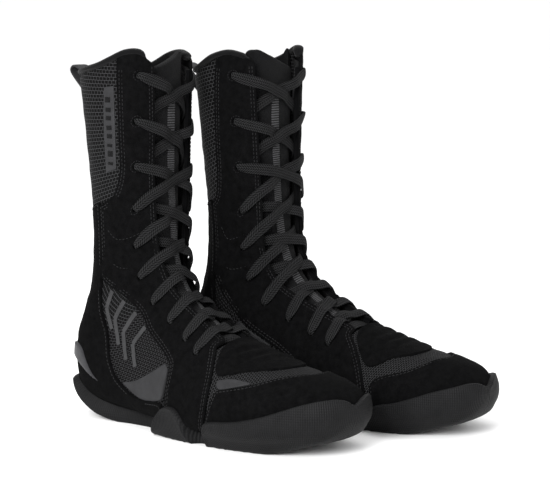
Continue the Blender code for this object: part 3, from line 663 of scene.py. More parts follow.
def weave(name, colour, pitch=0.9, depth=0.25, rough=0.8, sheen=0.2):
    """Plain cloth: warp and weft as two crossing waves, with painted shade where the yarns dip."""
    m = Mat(name, colour, rough, sheen=sheen, specular=0.03)
    x, y = m.uv()
    h = m.scaled(m.calc("MULTIPLY", m.wave(x, pitch), m.wave(y, pitch)), 0.5, 0.5)
    # Colour partly follows the weave height: painted shade in its low places, mixed with random tone.
    m.paint(m.blend(h, m.lumps(5.0, 3.0), 0.6), 0.5, 1.6, 0.25, 0.75)
    m.bump(h, depth, 0.9)
    return m.mat


def ribbed(name, colour, pitch=1.5, depth=0.35, sheen=0.2):
    """Webbing: ribs across its length, with painted shade between the ribs."""
    m = Mat(name, colour, 0.6, sheen=sheen, specular=0.05)
    x, y = m.uv()
    ribs = m.calc("ADD", m.scaled(m.wave(y, pitch), 0.4), m.scaled(m.wave(x, 0.8), 0.1))
    h = m.calc("ADD", ribs, 0.5)
    # Colour mostly follows the rib height: painted shade in the grooves, mixed with random tone.
    m.paint(m.blend(h, m.lumps(4.0), 0.75), 0.15, 1.9, 0.25, 0.75)
    m.bump(h, depth, 1.0)
    return m.mat


def braid():
    """Flat lace: a herringbone of slanted yarns that meet at the middle. Its colour follows the yarn height,
    with painted shade in the grooves between the yarns.
    """
    m = Mat("lace", (0.0075, 0.0075, 0.0078), 0.72, sheen=0.01, specular=0.05)
    x, y = m.uv()
    slant = m.calc("ADD", y, m.scaled(m.calc("ABSOLUTE", x), 0.9))
    yarns = m.calc("ADD", m.wave(slant, 1.9), m.scaled(m.wave(x, 2.1), 0.6))
    h = m.scaled(yarns, 0.3, 0.5)
    # Colour mostly follows the yarn height: painted shade between the yarns, mixed with random tone.
    m.paint(m.blend(h, m.lumps(2.5), 0.8), 0.08, 2.1, 0.25, 0.8)
    m.bump(h, 0.7, 1.0)
    return m.mat


def rubber():
    m = Mat("rubber", (0.0062, 0.0062, 0.0065), 0.5, specular=0.06)
    x, y = m.uv()
    h = m.scaled(m.calc("ADD", m.wave(y, 1.7), m.scaled(m.wave(x, 1.9), 0.35)), 0.37, 0.5)
    dust = m.lumps(14.0, 4.0, 0.65)
    # Colour: painted shade in the grooves between the fine ribs, mixed with uneven dust.
    m.paint(m.blend(h, dust, 0.35), 0.6, 1.45, 0.25, 0.75)
    m.bump(h, 0.4, 0.8)
    m.bump(m.lumps(0.6, 2.0), 0.05, 0.5)
    m.rough(dust, 0.45, 0.65)
    return m.mat


def film(name, colour, rough=0.5):
    """Smooth welded film with a very fine grain."""
    m = Mat(name, colour, rough, specular=0.08)
    m.paint(m.lumps(7.0, 4.0, 0.6), 0.85, 1.15)
    m.bump(m.lumps(0.5, 2.0), 0.06, 0.5)
    m.rough(m.lumps(3.0, 3.0), rough - 0.08, rough + 0.1)
    return m.mat


SUEDE_MAT = suede()
KNIT = knit("knit_window", (0.016, 0.016, 0.017), (3.6, 2.4), 0.75, 1.0)
KNIT_COLLAR = knit("knit_collar", (0.019, 0.019, 0.02), (3.5, 2.8), 0.12, 1.0)
KNIT_TOE = knit("knit_toe", (0.016, 0.016, 0.017), (2.6, 2.0), 0.3, 0.8)
LINING_MAT = weave("lining", (0.002, 0.002, 0.0022), 1.1, 0.2, 0.95, 0.02)
INSOLE_MAT = weave("insole", (0.016, 0.016, 0.017), 1.4, 0.25, 0.95, 0.02)
BOARD_MAT = weave("board", (0.42, 0.37, 0.29), 1.2, 0.15, 0.95, 0.02)
TONGUE_MAT = weave("tongue_cloth", (0.004, 0.004, 0.0043), 1.5, 0.5, 0.85, 0.03)
WEBBING_MAT = ribbed("webbing", (0.026, 0.026, 0.027), 2.2, 0.6, sheen=0.03)
LOOP_MAT = ribbed("loop_webbing", (0.018, 0.018, 0.019), 1.1, 0.3, sheen=0.03)
BIND_MAT = weave("binding_tape", (0.0028, 0.0028, 0.003), 0.8, 0.2, 0.8, 0.05)
LACE_MAT = braid()
RUBBER_MAT = rubber()
CLIP_MAT = film("clip", (0.028, 0.028, 0.03), 0.38)
ACCENT_MAT = film("accent", (0.017, 0.017, 0.018), 0.5)
PRINT_MAT = film("print", (0.024, 0.024, 0.025), 0.5)
THREAD_MAT = weave("thread", (0.0095, 0.0095, 0.01), 0.5, 0.1, 0.6, 0.05)
FACING_MAT = weave("facing", (0.002, 0.002, 0.0022), 1.0, 0.2, 0.9, 0.02)
AGLET_MAT = film("aglet", (0.015, 0.015, 0.016), 0.3)

for boot in PLACES:
    for part, mat in (("midsole", BOARD_MAT), ("toe_puff", BOARD_MAT), ("heel_counter", BOARD_MAT)):
        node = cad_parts[boot + "_" + part]
        node.data.materials.clear()
        node.data.materials.append(mat)

# ---------------------------------------------------------------- shared outlines
EYELETS_LATERAL = [(1.030, 0.21), (0.962, 0.235), (0.895, 0.25), (0.826, 0.26), (0.762, 0.25),
                   (0.680, 0.215), (0.600, 0.19), (0.525, 0.20), (0.452, 0.23), (0.395, 0.26)]
EYELETS_MEDIAL = [(1.030, 0.39), (0.962, 0.39), (0.895, 0.39), (0.826, 0.38), (0.762, 0.36),
                  (0.680, 0.31), (0.600, 0.275), (0.525, 0.27), (0.452, 0.28), (0.395, 0.29)]
THROAT_LATERAL = [(0.375, 0.10), (0.45, 0.085), (0.55, 0.075), (0.65, 0.08), (0.76, 0.11),
                  (0.86, 0.13), (0.96, 0.12)]
THROAT_MEDIAL = [(0.375, 0.12), (0.45, 0.13), (0.55, 0.14), (0.65, 0.17), (0.76, 0.22),
                 (0.86, 0.25), (0.96, 0.26)]
BACK_LATERAL = [(0.405, 0.32), (0.45, 0.29), (0.52, 0.27), (0.60, 0.265), (0.68, 0.29), (0.76, 0.325),
                (0.86, 0.325), (0.96, 0.325)]
BACK_MEDIAL = [(0.405, 0.36), (0.45, 0.35), (0.52, 0.345), (0.60, 0.345), (0.68, 0.385), (0.76, 0.435),
               (0.86, 0.46), (0.96, 0.465)]
COLLAR = lateral((1.050, 0.12), (1.066, 0.20), (1.067, 0.29), (1.058, 0.39), (1.050, 0.50), (1.046, 0.65),
                 (1.044, 0.82))
COLLAR += [(1.044, 0.0)]
COLLAR += medial((1.044, 0.82), (1.048, 0.66), (1.062, 0.52), (1.066, 0.42), (1.060, 0.34), (1.052, 0.26))


def board_limit(v):
    return np.interp(v, (0.0, 0.30, 0.36, 0.42, 0.465, 0.6), (0.24, 0.24, 0.22, 0.20, 0.11, 0.11))


def sole_outer(v, w):
    extra = np.interp(v, (0, 0.04, 0.11, 0.17, 0.5, 0.56, 0.6, 0.64), (0, 1.5, 3, 7, 8.5, 7.5, 4, 0))
    return SOLE_WALL[1] + extra * (1 - smooth(0.26, 0.36, np.abs(w)))


def suede_outer(v, w):
    return SUEDE[1] - 0.8 * (1 - smooth(0.27, 0.36, np.abs(w)))


def hole_loop(v, t, side, radius=EYELET_RADIUS, sides=18):
    w = (1 - t) * side
    along = np.linalg.norm(FORM.point(v + 0.005, w) - FORM.point(v - 0.005, w)) / 0.01
    around = np.linalg.norm(FORM.point(v, w + 0.005) - FORM.point(v, w - 0.005)) / 0.01
    turn = [2 * math.pi * k / sides for k in range(sides)]
    return [(v + radius * math.sin(a) / along, w + radius * math.cos(a) / around) for a in turn]


# ---------------------------------------------------------------- stitches
STITCHES = []


def at_run(s, run, values):
    return np.stack([np.interp(s, run, values[:, c]) for c in range(3)], 1)


def stitch_row(v, w, off, length=2.1, gap=1.0, thick=0.62):
    """Stitches along places on the form: each is a short thread that dips at both ends."""
    p = FORM.place(v, w, off)
    n = FORM.normal(v, w)
    run = run_of(p)
    count = int(run[-1] / (length + gap))
    shape = np.array(ring(5))
    for k in range(count):
        s = (k + 0.5) * run[-1] / count + np.array((-0.5, -0.36, 0, 0.36, 0.5)) * length
        s = np.clip(s, 0, run[-1])
        q = at_run(s, run, p)
        m = unit(at_run(s, run, n))
        if np.linalg.norm(q[-1] - q[0]) < 0.6 * length:
            continue
        q = q + m * np.array((-0.35, 0.12, 0.2, 0.12, -0.35))[:, None]
        tan = unit(np.gradient(q, axis=0))
        side = unit(np.cross(tan, m))
        up = np.cross(side, tan)
        fat = thick * np.array((0.55, 1, 1.08, 1, 0.55))
        STITCHES.append(sweep(q, side, up, fat, fat * 0.8, shape))


def runs(ok):
    """Start and end of each unbroken run of true values in a closed row."""
    n = len(ok)
    if ok.all():
        return [np.r_[np.arange(n), 0]]
    out = []
    first = int(np.argmin(ok))
    order = (np.arange(n) + first) % n
    now = []
    for i in order:
        if ok[i]:
            now.append(i)
        elif now:
            out.append(np.array(now))
            now = []
    if now:
        out.append(np.array(now))
    return [r for r in out if len(r) > 3]


def stitched(loop, dists, off, where):
    """Rows of stitches inside a panel's edge, where the test on (v, w) allows them."""
    for d in dists:
        v, w, ok = inset(loop, d)
        for r in runs(ok & where(v, w)):
            stitch_row(v[r], w[r], off(v[r], w[r]))


def line_of(points):
    return np.array(rounded(points, 1.5, closed=False)).T


# ---------------------------------------------------------------- sole
sole = lateral((0.004, 0.02), (0.012, 0.16), (0.05, 0.31), (0.11, 0.42), (0.164, 0.495), (0.22, 0.545),
               (0.268, 0.575), (0.282, 0.61), (0.292, 0.72), (0.308, 0.745), (0.324, 0.70), (0.345, 0.62),
               (0.372, 0.59), (0.398, 0.62), (0.418, 0.71), (0.437, 0.80), (0.465, 0.85), (0.51, 0.855),
               (0.56, 0.835), (0.60, 0.825), (0.632, 0.86))
sole += [(0.644, 0.0)]
sole += medial((0.632, 0.80), (0.60, 0.73), (0.54, 0.70), (0.46, 0.69), (0.40, 0.66), (0.36, 0.61),
               (0.33, 0.61), (0.305, 0.67), (0.275, 0.69), (0.25, 0.68), (0.238, 0.62), (0.222, 0.57),
               (0.18, 0.53), (0.12, 0.45), (0.058, 0.36), (0.014, 0.2), (0.004, 0.02))


def lip(v, w, d):
    """A raised rim round the cup's edge with a shallow groove below it."""
    return 0.45 * (1 - smooth(1.6, 2.4, d)) - 0.35 * np.exp(-((d - 3.1) / 0.6) ** 2)


panel("outsole", sole, SOLE_WALL[0], sole_outer, RUBBER_MAT, relief=lip, edge=1.5, floor=0.0, uv="rim",
      step=2.8, spacing=1.5, pinch=0.45)
clip = lateral((0.575, 0.705), (0.62, 0.73), (0.655, 0.80), (0.672, 0.90))
clip += [(0.676, 0.0)] + medial((0.672, 0.90), (0.655, 0.80), (0.62, 0.73), (0.575, 0.705))
clip += medial((0.643, 0.70), (0.681, 0.80)) + [(0.698, 0.0)] + lateral((0.681, 0.80), (0.643, 0.70))
panel("heel_clip", clip, 1.2, 3.1, CLIP_MAT, edge=1.2, corner=(0, 8), pinch=0.3)

bed_side = [(0.07, 0.2), (0.16, 0.26), (0.26, 0.27), (0.36, 0.24), (0.46, 0.22), (0.545, 0.2)]
bed = [(0.05, 0.0)] + bed_side + [(0.57, 0.0)] + [(v, -w) for v, w in reversed(bed_side)]
panel("insole", bed, INSOLE[0], INSOLE[1], INSOLE_MAT, step=6.0, spacing=4.0, uv="w")

# ---------------------------------------------------------------- inner layers
for side, name, back, rim in ((1, "lateral", BACK_LATERAL, [(1.064, 0.33), (1.055, 0.42), (1.046, 0.60)]),
                              (-1, "medial", BACK_MEDIAL, [(1.062, 0.49), (1.044, 0.60)])):
    fold = lateral if side > 0 else medial
    sock = [(v, side * 0.001) for v in (1.041, 0.90, 0.76, 0.66, 0.58, 0.48, 0.34, 0.20, 0.09)]
    sock += [(0.03, side * 0.01), (0.016, side * 0.25), (0.016, side * 0.75), (0.03, side * 0.99)]
    sock += [(0.10, side * 0.999), (0.24, side * 0.999), (0.36, side * 0.999)]
    sock += fold((0.372, 0.26)) + fold(*back) + fold(*rim)
    panel("lining_" + name, sock, LINING[0], -5.2, LINING_MAT, step=6.0, spacing=3.0, corner=(0, 15, 24),
          uv="w")


def puffed(size, amount, seed):
    """Soft padding that rises away from the seams, with slight unevenness."""
    def shape(v, w, d):
        p = FORM.point(v, w)
        return amount * smooth(1.0, size, d) + 0.18 * noise(p, 14, seed)
    return shape


low = [(v, float(board_limit(v)) + 0.045) for v in (0.06, 0.12, 0.20, 0.28, 0.36, 0.412)]
vamp = [(0.052, 0.0)] + low + lateral((0.405, 0.45), (0.375, 0.36), (0.362, 0.20)) + [(0.358, 1.0)]
vamp += medial((0.362, 0.20), (0.375, 0.38), (0.405, 0.47)) + [(v, -w) for v, w in low[::-1]]
panel("vamp_mesh", vamp, BASE[0], BASE[1], KNIT_TOE, corner=(6, 14), relief=puffed(8, 0.6, 3), step=4.0,
      grow=2.0)
for side, name, back in ((1, "lateral", BACK_LATERAL), (-1, "medial", BACK_MEDIAL)):
    fold = lateral if side > 0 else medial
    low = [(v, side * (float(board_limit(v)) + 0.045)) for v in (0.42, 0.49, 0.56)]
    edge = [(0.63, side * 0.27), (0.705, side * 0.002), (0.78, side * 0.002), (0.868, side * 0.002)]
    rest = fold((0.868, back[-2][1] + 0.008)) + fold(*[(v, t + 0.008) for v, t in back[-3:0:-1]])
    front = fold((0.416, back[0][1] + 0.03))
    panel("ankle_mesh_" + name, low + edge + rest + front, BASE[0], BASE[1], KNIT, corner=(0, 4, 6, 7),
          relief=puffed(10, 0.9, 5), step=4.0, uv="w")
mesh = lateral((0.862, 0.333), (0.96, 0.333), (1.060, 0.333), (1.054, 0.42), (1.046, 0.60)) + [(1.041, 0.0)]
mesh += medial((1.044, 0.60), (1.060, 0.475), (0.96, 0.473), (0.862, 0.468)) + [(0.862, 0.0)]
panel("collar_mesh", mesh, BASE[0], BASE[1], KNIT_COLLAR, corner=(0, 2, 7, 9), relief=puffed(9, 1.6, 7),
      step=4.0, uv="w", grow=3.0)

# ---------------------------------------------------------------- suede overlays
GUIDES_LATERAL = [lateral((0.824, 0.51), (0.80, 0.42), (0.785, 0.30), (0.78, 0.20)),
                  lateral((0.764, 0.445), (0.738, 0.36), (0.72, 0.28), (0.712, 0.215))]
GUIDES_MEDIAL = [medial((0.824, 0.56), (0.80, 0.50), (0.79, 0.42), (0.785, 0.35)),
                 medial((0.764, 0.52), (0.74, 0.46), (0.722, 0.38), (0.712, 0.32))]


def worn(seed, seams=(), ankle=0.0):
    """Gentle unevenness, a groove along each sewn line and a few folds at the ankle."""
    trees = [tree_of(FORM.point(*line_of(s))) for s in seams]

    def shape(v, w, d):
        p = FORM.point(v, w)
        out = 0.22 * noise(p, 26, seed) + 0.08 * noise(p, 8, seed + 1)
        out -= 0.28 * np.exp(-((d - 2.6) / 0.7) ** 2)
        for tree in trees:
            out -= 0.5 * np.exp(-(gap_to(tree, p) / 1.1) ** 2)
        if ankle:
            wave = np.sin((p[:, 2] - 0.45 * p[:, 1]) * 2 * np.pi / 19 + 1.6 * noise(p, 40, seed + 2, 1))
            out += ankle * wave * np.exp(-((v - 0.70) / 0.07) ** 2)
        return out
    return shape


q = lateral((1.046, 0.12), (1.062, 0.20), (1.064, 0.28), (1.060, 0.335), (1.016, 0.345), (0.95, 0.355),
            (0.895, 0.365), (0.866, 0.42), (0.862, 0.50), (0.862, 0.585), (0.81, 0.59), (0.762, 0.565),
            (0.745, 0.52), (0.68, 0.355), (0.608, 0.268), (0.54, 0.31), (0.452, 0.375), (0.432, 0.42),
            (0.412, 0.54), (0.40, 0.62), (0.394, 0.72), (0.35, 0.762), (0.298, 0.75), (0.286, 0.67),
            (0.290, 0.52), (0.312, 0.36), (0.345, 0.24))
q += lateral((0.368, 0.17)) + lateral(*THROAT_LATERAL)
holes = [hole_loop(v, t, 1) for v, t in EYELETS_LATERAL]
_, quarter_l = panel("quarter_lateral", q, SUEDE[0], suede_outer, SUEDE_MAT, holes, corner=(0, 3, 22, 9),
                     relief=worn(11, GUIDES_LATERAL, 0.5), grow=0.6)
q = medial((1.050, 0.268), (1.058, 0.34), (1.064, 0.42), (1.058, 0.49), (1.02, 0.515), (0.95, 0.54),
           (0.90, 0.555), (0.870, 0.585), (0.862, 0.64), (0.81, 0.63), (0.762, 0.60), (0.70, 0.50),
           (0.62, 0.42), (0.52, 0.435), (0.44, 0.50), (0.41, 0.575), (0.385, 0.70), (0.34, 0.72),
           (0.255, 0.71), (0.245, 0.64), (0.258, 0.50), (0.29, 0.36), (0.33, 0.25))
q += medial((0.362, 0.18)) + medial(*THROAT_MEDIAL)
holes = [hole_loop(v, t, -1) for v, t in EYELETS_MEDIAL]
_, quarter_m = panel("quarter_medial", q, SUEDE[0], suede_outer, SUEDE_MAT, holes, corner=(0, 3, 8),
                     relief=worn(13, GUIDES_MEDIAL, 0.5), grow=0.6)
guard = [(0.14, 1.0)] + lateral((0.16, 0.15), (0.21, 0.32), (0.278, 0.415), (0.276, 0.54), (0.272, 0.66),
                                (0.22, 0.68), (0.12, 0.66), (0.055, 0.60), (0.025, 0.72))
guard += [(0.012, 0.0)] + medial((0.025, 0.72), (0.055, 0.60), (0.12, 0.66), (0.20, 0.68), (0.228, 0.66),
                                 (0.234, 0.54), (0.240, 0.425), (0.18, 0.31), (0.15, 0.15))
_, guard_loop = panel("toe_guard", guard, -0.9, suede_outer, SUEDE_MAT, corner=(3,), relief=worn(17),
                      grow=2.6)
heel = lateral((0.866, 0.60), (0.81, 0.605), (0.762, 0.58), (0.69, 0.53), (0.63, 0.505), (0.58, 0.58),
               (0.535, 0.65), (0.48, 0.685), (0.42, 0.635), (0.408, 0.66),
               (0.412, 0.78), (0.44, 0.80), (0.478, 0.88),
               (0.55, 0.885), (0.60, 0.89))
heel += [(0.612, 0.0)] + medial((0.60, 0.80), (0.55, 0.755), (0.45, 0.745), (0.40, 0.72), (0.40, 0.68),
                                (0.44, 0.66), (0.50, 0.68), (0.55, 0.65), (0.62, 0.56), (0.70, 0.57),
                                (0.76, 0.62), (0.81, 0.645), (0.866, 0.655))
heel += [(0.871, 0.0)]
_, heel_loop = panel("heel_suede", heel, -0.6, lambda v, w: suede_outer(v, w) + 0.5, SUEDE_MAT,
                     corner=(0, 28), relief=worn(19, (), 0.25), grow=1.8)


def creases(v, w, d):
    """Soft ridges across the vamp, closer together near the throat."""
    p = FORM.point(v, w)
    u = 1 - np.abs(w)
    run = (v - 0.20) / 0.16
    wave = np.sin(run * 2 * np.pi * 5.2 + 0.5 * noise(p, 30, 5, 1)) * (0.55 + 0.3 * noise(p, 40, 6, 1))
    return 0.95 * wave * (1 - smooth(0.2, 0.34, u)) * smooth(0.1, 0.5, run) + 0.3


flex = [(0.205, 1.0)] + lateral((0.222, 0.12), (0.262, 0.22), (0.305, 0.30), (0.333, 0.225), (0.352, 0.13))
flex += [(0.356, 1.0)] + medial((0.35, 0.13), (0.318, 0.235), (0.275, 0.32), (0.245, 0.22), (0.215, 0.12))
panel("vamp_flex_panel", flex, -1.4, 0.7, SUEDE_MAT, relief=creases, grow=2.4, step=2.2)

# ---------------------------------------------------------------- pale trim panels
wedge = lateral((0.526, 0.635), (0.502, 0.585), (0.455, 0.41), (0.44, 0.44), (0.422, 0.57), (0.43, 0.61),
                (0.475, 0.66))
panel("accent_ankle", wedge, -1.6, 0.5, ACCENT_MAT, corner=(0, 2), grow=1.2)
tip = lateral((0.298, 0.35), (0.268, 0.31), (0.225, 0.30), (0.25, 0.345), (0.282, 0.385))
panel("accent_forefoot", tip, -1.6, 0.3, ACCENT_MAT, corner=(0, 2), grow=0.8)
arch = medial((0.61, 0.435), (0.56, 0.435), (0.52, 0.45), (0.535, 0.48), (0.60, 0.475))
panel("accent_medial", arch, -1.6, 0.5, ACCENT_MAT, corner=(2,), grow=0.8)
label = lateral((1.018, 0.37), (1.018, 0.445), (0.96, 0.475), (0.90, 0.49), (0.90, 0.395), (0.96, 0.38))
panel("collar_label", label, -0.6, 1.0, ACCENT_MAT, corner=(0, 1, 3, 4), edge=0.5)

for side, name, rows, throat, back in ((1, "lateral", EYELETS_LATERAL, THROAT_LATERAL, BACK_LATERAL),
                                       (-1, "medial", EYELETS_MEDIAL, THROAT_MEDIAL, BACK_MEDIAL)):
    fold = lateral if side > 0 else medial
    strip = fold((0.385, throat[0][1] + 0.01)) + fold(*[(v, t + 0.006) for v, t in throat[1:]])
    strip += fold((1.036, throat[-1][1] + 0.008), (1.050, back[-1][1] - 0.02))
    strip += fold(*[(v, t - 0.012) for v, t in back[:0:-1]]) + fold((0.388, back[0][1] - 0.012))
    holes = [hole_loop(v, t, side, EYELET_RADIUS + 0.2) for v, t in rows]
    panel("eyelet_facing_" + name, strip, BASE[0], -0.4, FACING_MAT, holes, corner=(0, 7, 8, 16), step=6.0)


# ---------------------------------------------------------------- tongue
def tongue_face(v, w):
    """Outer face of the tongue: padded in the middle, flatter towards its edges."""
    return TONGUE[1] + 1.5 * np.exp(-((signed(w) + 0.07) / 0.13) ** 2) * smooth(0.40, 0.46, v)


tongue = lateral((0.378, 0.06), (0.42, 0.225), (0.52, 0.225), (0.60, 0.22), (0.68, 0.235), (0.76, 0.25),
                 (0.88, 0.245), (1.00, 0.235), (1.03, 0.18))
tongue += [(1.045, 1.0)] + medial((1.058, 0.12), (1.068, 0.23), (1.055, 0.335), (0.96, 0.365),
                                  (0.86, 0.365), (0.76, 0.35), (0.68, 0.32), (0.60, 0.30), (0.52, 0.295),
                                  (0.42, 0.29), (0.378, 0.06))
made, _ = panel("tongue", tongue, TONGUE[0], tongue_face, TONGUE_MAT, edge=1.6, step=4.0,
                relief=lambda v, w, d: 0.25 * noise(FORM.point(v, w), 22, 31), body="tongue")
strip = [(0.44, -0.975), (0.52, -0.98), (0.66, -0.975), (0.80, -0.965), (0.99, -0.955),
         (0.99, -0.885), (0.80, -0.895), (0.66, -0.91), (0.52, -0.92), (0.44, -0.915)]
panel("tongue_webbing", strip, lambda v, w: tongue_face(v, w) - 0.3, lambda v, w: tongue_face(v, w) + 0.8,
      WEBBING_MAT, corner=(0, 4, 5, 9), body="tongue", edge=0.4)

# ---------------------------------------------------------------- lace
LACE_WIDTH = 8.8
LACE_THICK = 1.8
OUT = 2.75
LOW = -4.6


def part_way(a, b, share):
    return a[0] + (b[0] - a[0]) * share, a[1] + (b[1] - a[1]) * share


def lace_path():
    """Way points of one lace: v, signed share from the front line, offset, how far it is in a hole."""
    left = [(v, t) for v, t in EYELETS_LATERAL]
    right = [(v, -t) for v, t in EYELETS_MEDIAL]

    def strand(on_left):
        own, other = (left, right) if on_left else (right, left)
        high = on_left
        pts = [(*own[9], LOW + 1.6, 1), (*own[9], OUT - 1.2, 1)]
        for row in range(9, 0, -1):
            a = own[row]
            b = other[row - 1]
            over = -1.2 if high else -3.7
            starts_out = row >= 3
            ends_out = row <= 3
            if starts_out and ends_out:
                over += 2.0
            first = OUT if starts_out else LOW
            last = OUT if ends_out else LOW
            for share, off in ((0.10, first), (0.20, first), (0.31, first), (0.43, over), (0.57, over),
                               (0.69, last), (0.80, last), (0.90, last)):
                pts.append((*part_way(a, b, share), off, 0))
            ends = [(*b, OUT - 1.2, 1), (*b, LOW + 1.6, 1)]
            pts += ends if ends_out else ends[::-1]
            own, other = other, own
        v, t = own[0]
        turn = 1 if t > 0 else -1
        for dv, dt in ((0.000, 0.018), (-0.004, 0.036), (-0.013, 0.046), (-0.022, 0.047)):
            pts.append((v + dv, t - turn * dt, LOW, 0))
        return pts

    one = strand(True)
    two = strand(False)
    a = left[9]
    b = right[9]
    bar = []
    for share in (0.12, 0.3, 0.5, 0.7, 0.88):
        v, u = part_way(a, b, share)
        bar.append((v - 0.004, u, LOW, 0))
    return one[::-1] + bar + two


def on_form(v, u, off):
    w = signed(u)
    return FORM.place(v, w, off), FORM.normal(v, w)


way = np.array(lace_path())
pts, _ = on_form(way[:, 0], way[:, 1], way[:, 2])
dense = smooth_path(np.concatenate([pts, way], 1), 1.3)
path, nrm = on_form(dense[:, 3], dense[:, 4], dense[:, 5])
inhole = np.clip(dense[:, 6], 0, 1)
tan = unit(np.gradient(path, axis=0))
flatway = tan - nrm * (tan * nrm).sum(axis=1, keepdims=True)
weight = np.clip(np.linalg.norm(flatway, axis=1), 0, 1) ** 4
target = unit(np.cross(nrm, unit(flatway)))
wide = np.zeros_like(target)
now = target[0]
for i in range(len(target)):
    t = target[i] * (1 if (target[i] * now).sum() >= 0 else -1)
    now = unit(now * (1 - 0.25 * weight[i]) + t * 0.25 * weight[i])
    now = unit(now - tan[i] * (now * tan[i]).sum())
    wide[i] = now
for _ in range(6):
    wide = unit(wide + 0.5 * (np.roll(wide, 1, 0) + np.roll(wide, -1, 0)))
    wide = unit(wide - tan * (wide * tan).sum(axis=1, keepdims=True))
thick = unit(np.cross(tan, wide))
run = run_of(path)
uneven = 1 + 0.05 * np.sin(run / 11.0) + 0.04 * np.sin(run / 5.3 + 1)
near_hole = np.convolve(inhole, np.hanning(9) / np.hanning(9).sum(), "same")
widths = LACE_WIDTH * uneven * (1 - 0.45 * np.clip(near_hole, 0, 1))
depths = LACE_THICK * np.clip(LACE_WIDTH / widths, 0.9, 1.5)
verts, faces, uvs = sweep(path, wide, thick, widths, depths, ring(12, 2.6))
add("lace", verts, faces, LACE_MAT, uvs=uvs)
for name, i, j in (("aglet_lateral", 0, 3), ("aglet_medial", -1, -4)):
    way_out = unit(unit(path[i] - path[j]) - nrm[i] * 0.06)
    s = np.array((0.3, 0.6, 2.0, 3.0, 7.0, 11.0, 13.2, 14.2, 14.4))
    fat = np.array((2.0, 2.7, 2.9, 2.75, 2.7, 2.65, 2.6, 2.2, 1.4))
    ends = path[i] + way_out * s[:, None]
    side = np.repeat(unit(np.cross(way_out, nrm[i]))[None], len(s), 0)
    face = np.cross(side, way_out)
    verts, faces, uvs = sweep(ends, side, face, fat, fat * 0.8, ring(12))
    add(name, verts, faces, AGLET_MAT, uvs=uvs)

# ---------------------------------------------------------------- collar binding and pull loop
loop = [p for p in rounded(COLLAR, 2.0) if -0.73 < p[1] < 0.875]
k = max(range(len(loop)), key=lambda i: np.linalg.norm(FORM.point(*loop[i]) - FORM.point(*loop[i - 1])))
cut = np.array(loop[k:] + loop[:k])
path = FORM.place(cut[:, 0] + 0.001, cut[:, 1], -2.3)
nrm = FORM.normal(cut[:, 0], cut[:, 1])
tan = unit(np.gradient(path, axis=0))
up = unit(np.cross(nrm, tan))
up *= np.sign(up[:, 2:].sum())
ends = np.minimum(np.arange(len(path)), np.arange(len(path))[::-1])
taper = 0.25 + 0.75 * np.sqrt(np.clip(ends / 3.0, 0, 1))
verts, faces, uvs = sweep(path, nrm, up, 8.2 * taper, 5.2 * taper, ring(14, 2.3))
add("collar_binding", verts, faces, BIND_MAT, uvs=uvs)

loop = [(-0.6, 246.0), (-2.5, 252.0), (-8.5, 260.0), (-17.0, 268.0), (-22.5, 273.5), (-24.8, 278.0),
        (-22.6, 280.6), (-17.5, 279.6), (-10.0, 276.6), (-4.2, 274.2), (-1.6, 271.0), (-1.2, 264.0)]
back = float(FORM.place(np.array(1.0), np.array(0.0), 0.4)[1])
path = smooth_path([(0.0, y + back - 1.6, z) for y, z in loop], 1.2)
tan = unit(np.gradient(path, axis=0))
side = np.repeat(np.array(((1.0, 0.0, 0.0),)), len(path), 0)
ones = np.ones(len(path))
verts, faces, uvs = sweep(path, side, np.cross(tan, side), LOOP_WIDTH * ones, 1.7 * ones, ring(16, 5.0))
add("pull_loop", verts, faces, LOOP_MAT, uvs=uvs, body="pull_loop", sharp=60)

# ---------------------------------------------------------------- printed marks
side_v, side_w = np.meshgrid(np.linspace(0.30, 1.06, 400), np.linspace(0.25, 0.80, 220))
side_v = side_v.ravel()
side_w = side_w.ravel()
side_p = FORM.point(side_v, side_w)
side_p[:, 0] = 0
SIDE_TREE = tree_of(side_p)


def on_side(points):
    """Places on the outer side of the form, from forward and up coordinates in mm."""
    ids = [SIDE_TREE.find((0, y, z))[1] for y, z in points]
    return side_v[ids], side_w[ids]


def ribbon(points, off, width, thick):
    """A thin flat band laid on the outer side along a side-view line."""
    y, z = smooth_path([(0, a, b) for a, b in points], 1.2)[:, 1:].T
    v, w = on_side(list(zip(y, z)))
    path = FORM.place(v, w, off)
    for _ in range(2):
        path[1:-1] = (path[:-2] + path[1:-1] * 2 + path[2:]) / 4
    nrm = FORM.normal(v, w)
    tan = unit(np.gradient(path, axis=0))
    wide = unit(np.cross(nrm, tan))
    ones = np.ones(len(path))
    return sweep(path, wide, np.cross(tan, wide), width * ones, thick * ones, ring(10, 6.0))


def merged(parts):
    counts = np.cumsum([0] + [len(s[0]) for s in parts])
    verts = np.concatenate([s[0] for s in parts])
    uvs = np.concatenate([s[2] for s in parts])
    faces = [[i + int(c) for i in f] for s, c in zip(parts, counts) for f in s[1]]
    return verts, faces, uvs


strokes = []
for top, apex, foot in (((61, 106), (55, 92), (61, 76)), ((73, 99), (64, 84), (70, 64)),
                        ((85, 91), (74, 75), (80, 54)), ((97, 81), (86, 67), (92, 50))):
    for a, b in ((top, apex), (apex, foot)):
        strokes.append(ribbon([a, ((a[0] + b[0]) / 2 - 0.4, (a[1] + b[1]) / 2), b], 0.0, 3.8, 0.8))
verts, faces, uvs = merged(strokes)
add("ankle_print", verts, faces, PRINT_MAT, uvs=uvs, stands_for="", rec_slot="accent", sharp=50)
dashes = [ribbon([(65.5, z), (65.6, z + 1.2), (65.7, z + 2.4 + 1.4 * (k % 2))], 1.1, 5.0, 0.5)
          for k, z in enumerate(range(206, 262, 7))]
verts, faces, uvs = merged(dashes)
add("label_marks", verts, faces, BIND_MAT, uvs=uvs, stands_for="", rec_slot="accent", sharp=50)

# ---------------------------------------------------------------- stitching


def above_sole(v, w):
    return np.abs(w) > np.interp(v, (0, 0.1, 0.3, 0.45, 0.6, 0.66), (0.7, 0.52, 0.33, 0.33, 0.3, 0.0))


def suede_top(v, w):
    return suede_outer(v, w) - 0.15


def not_collar(v, w):
    return above_sole(v, w) & (v < 1.045)


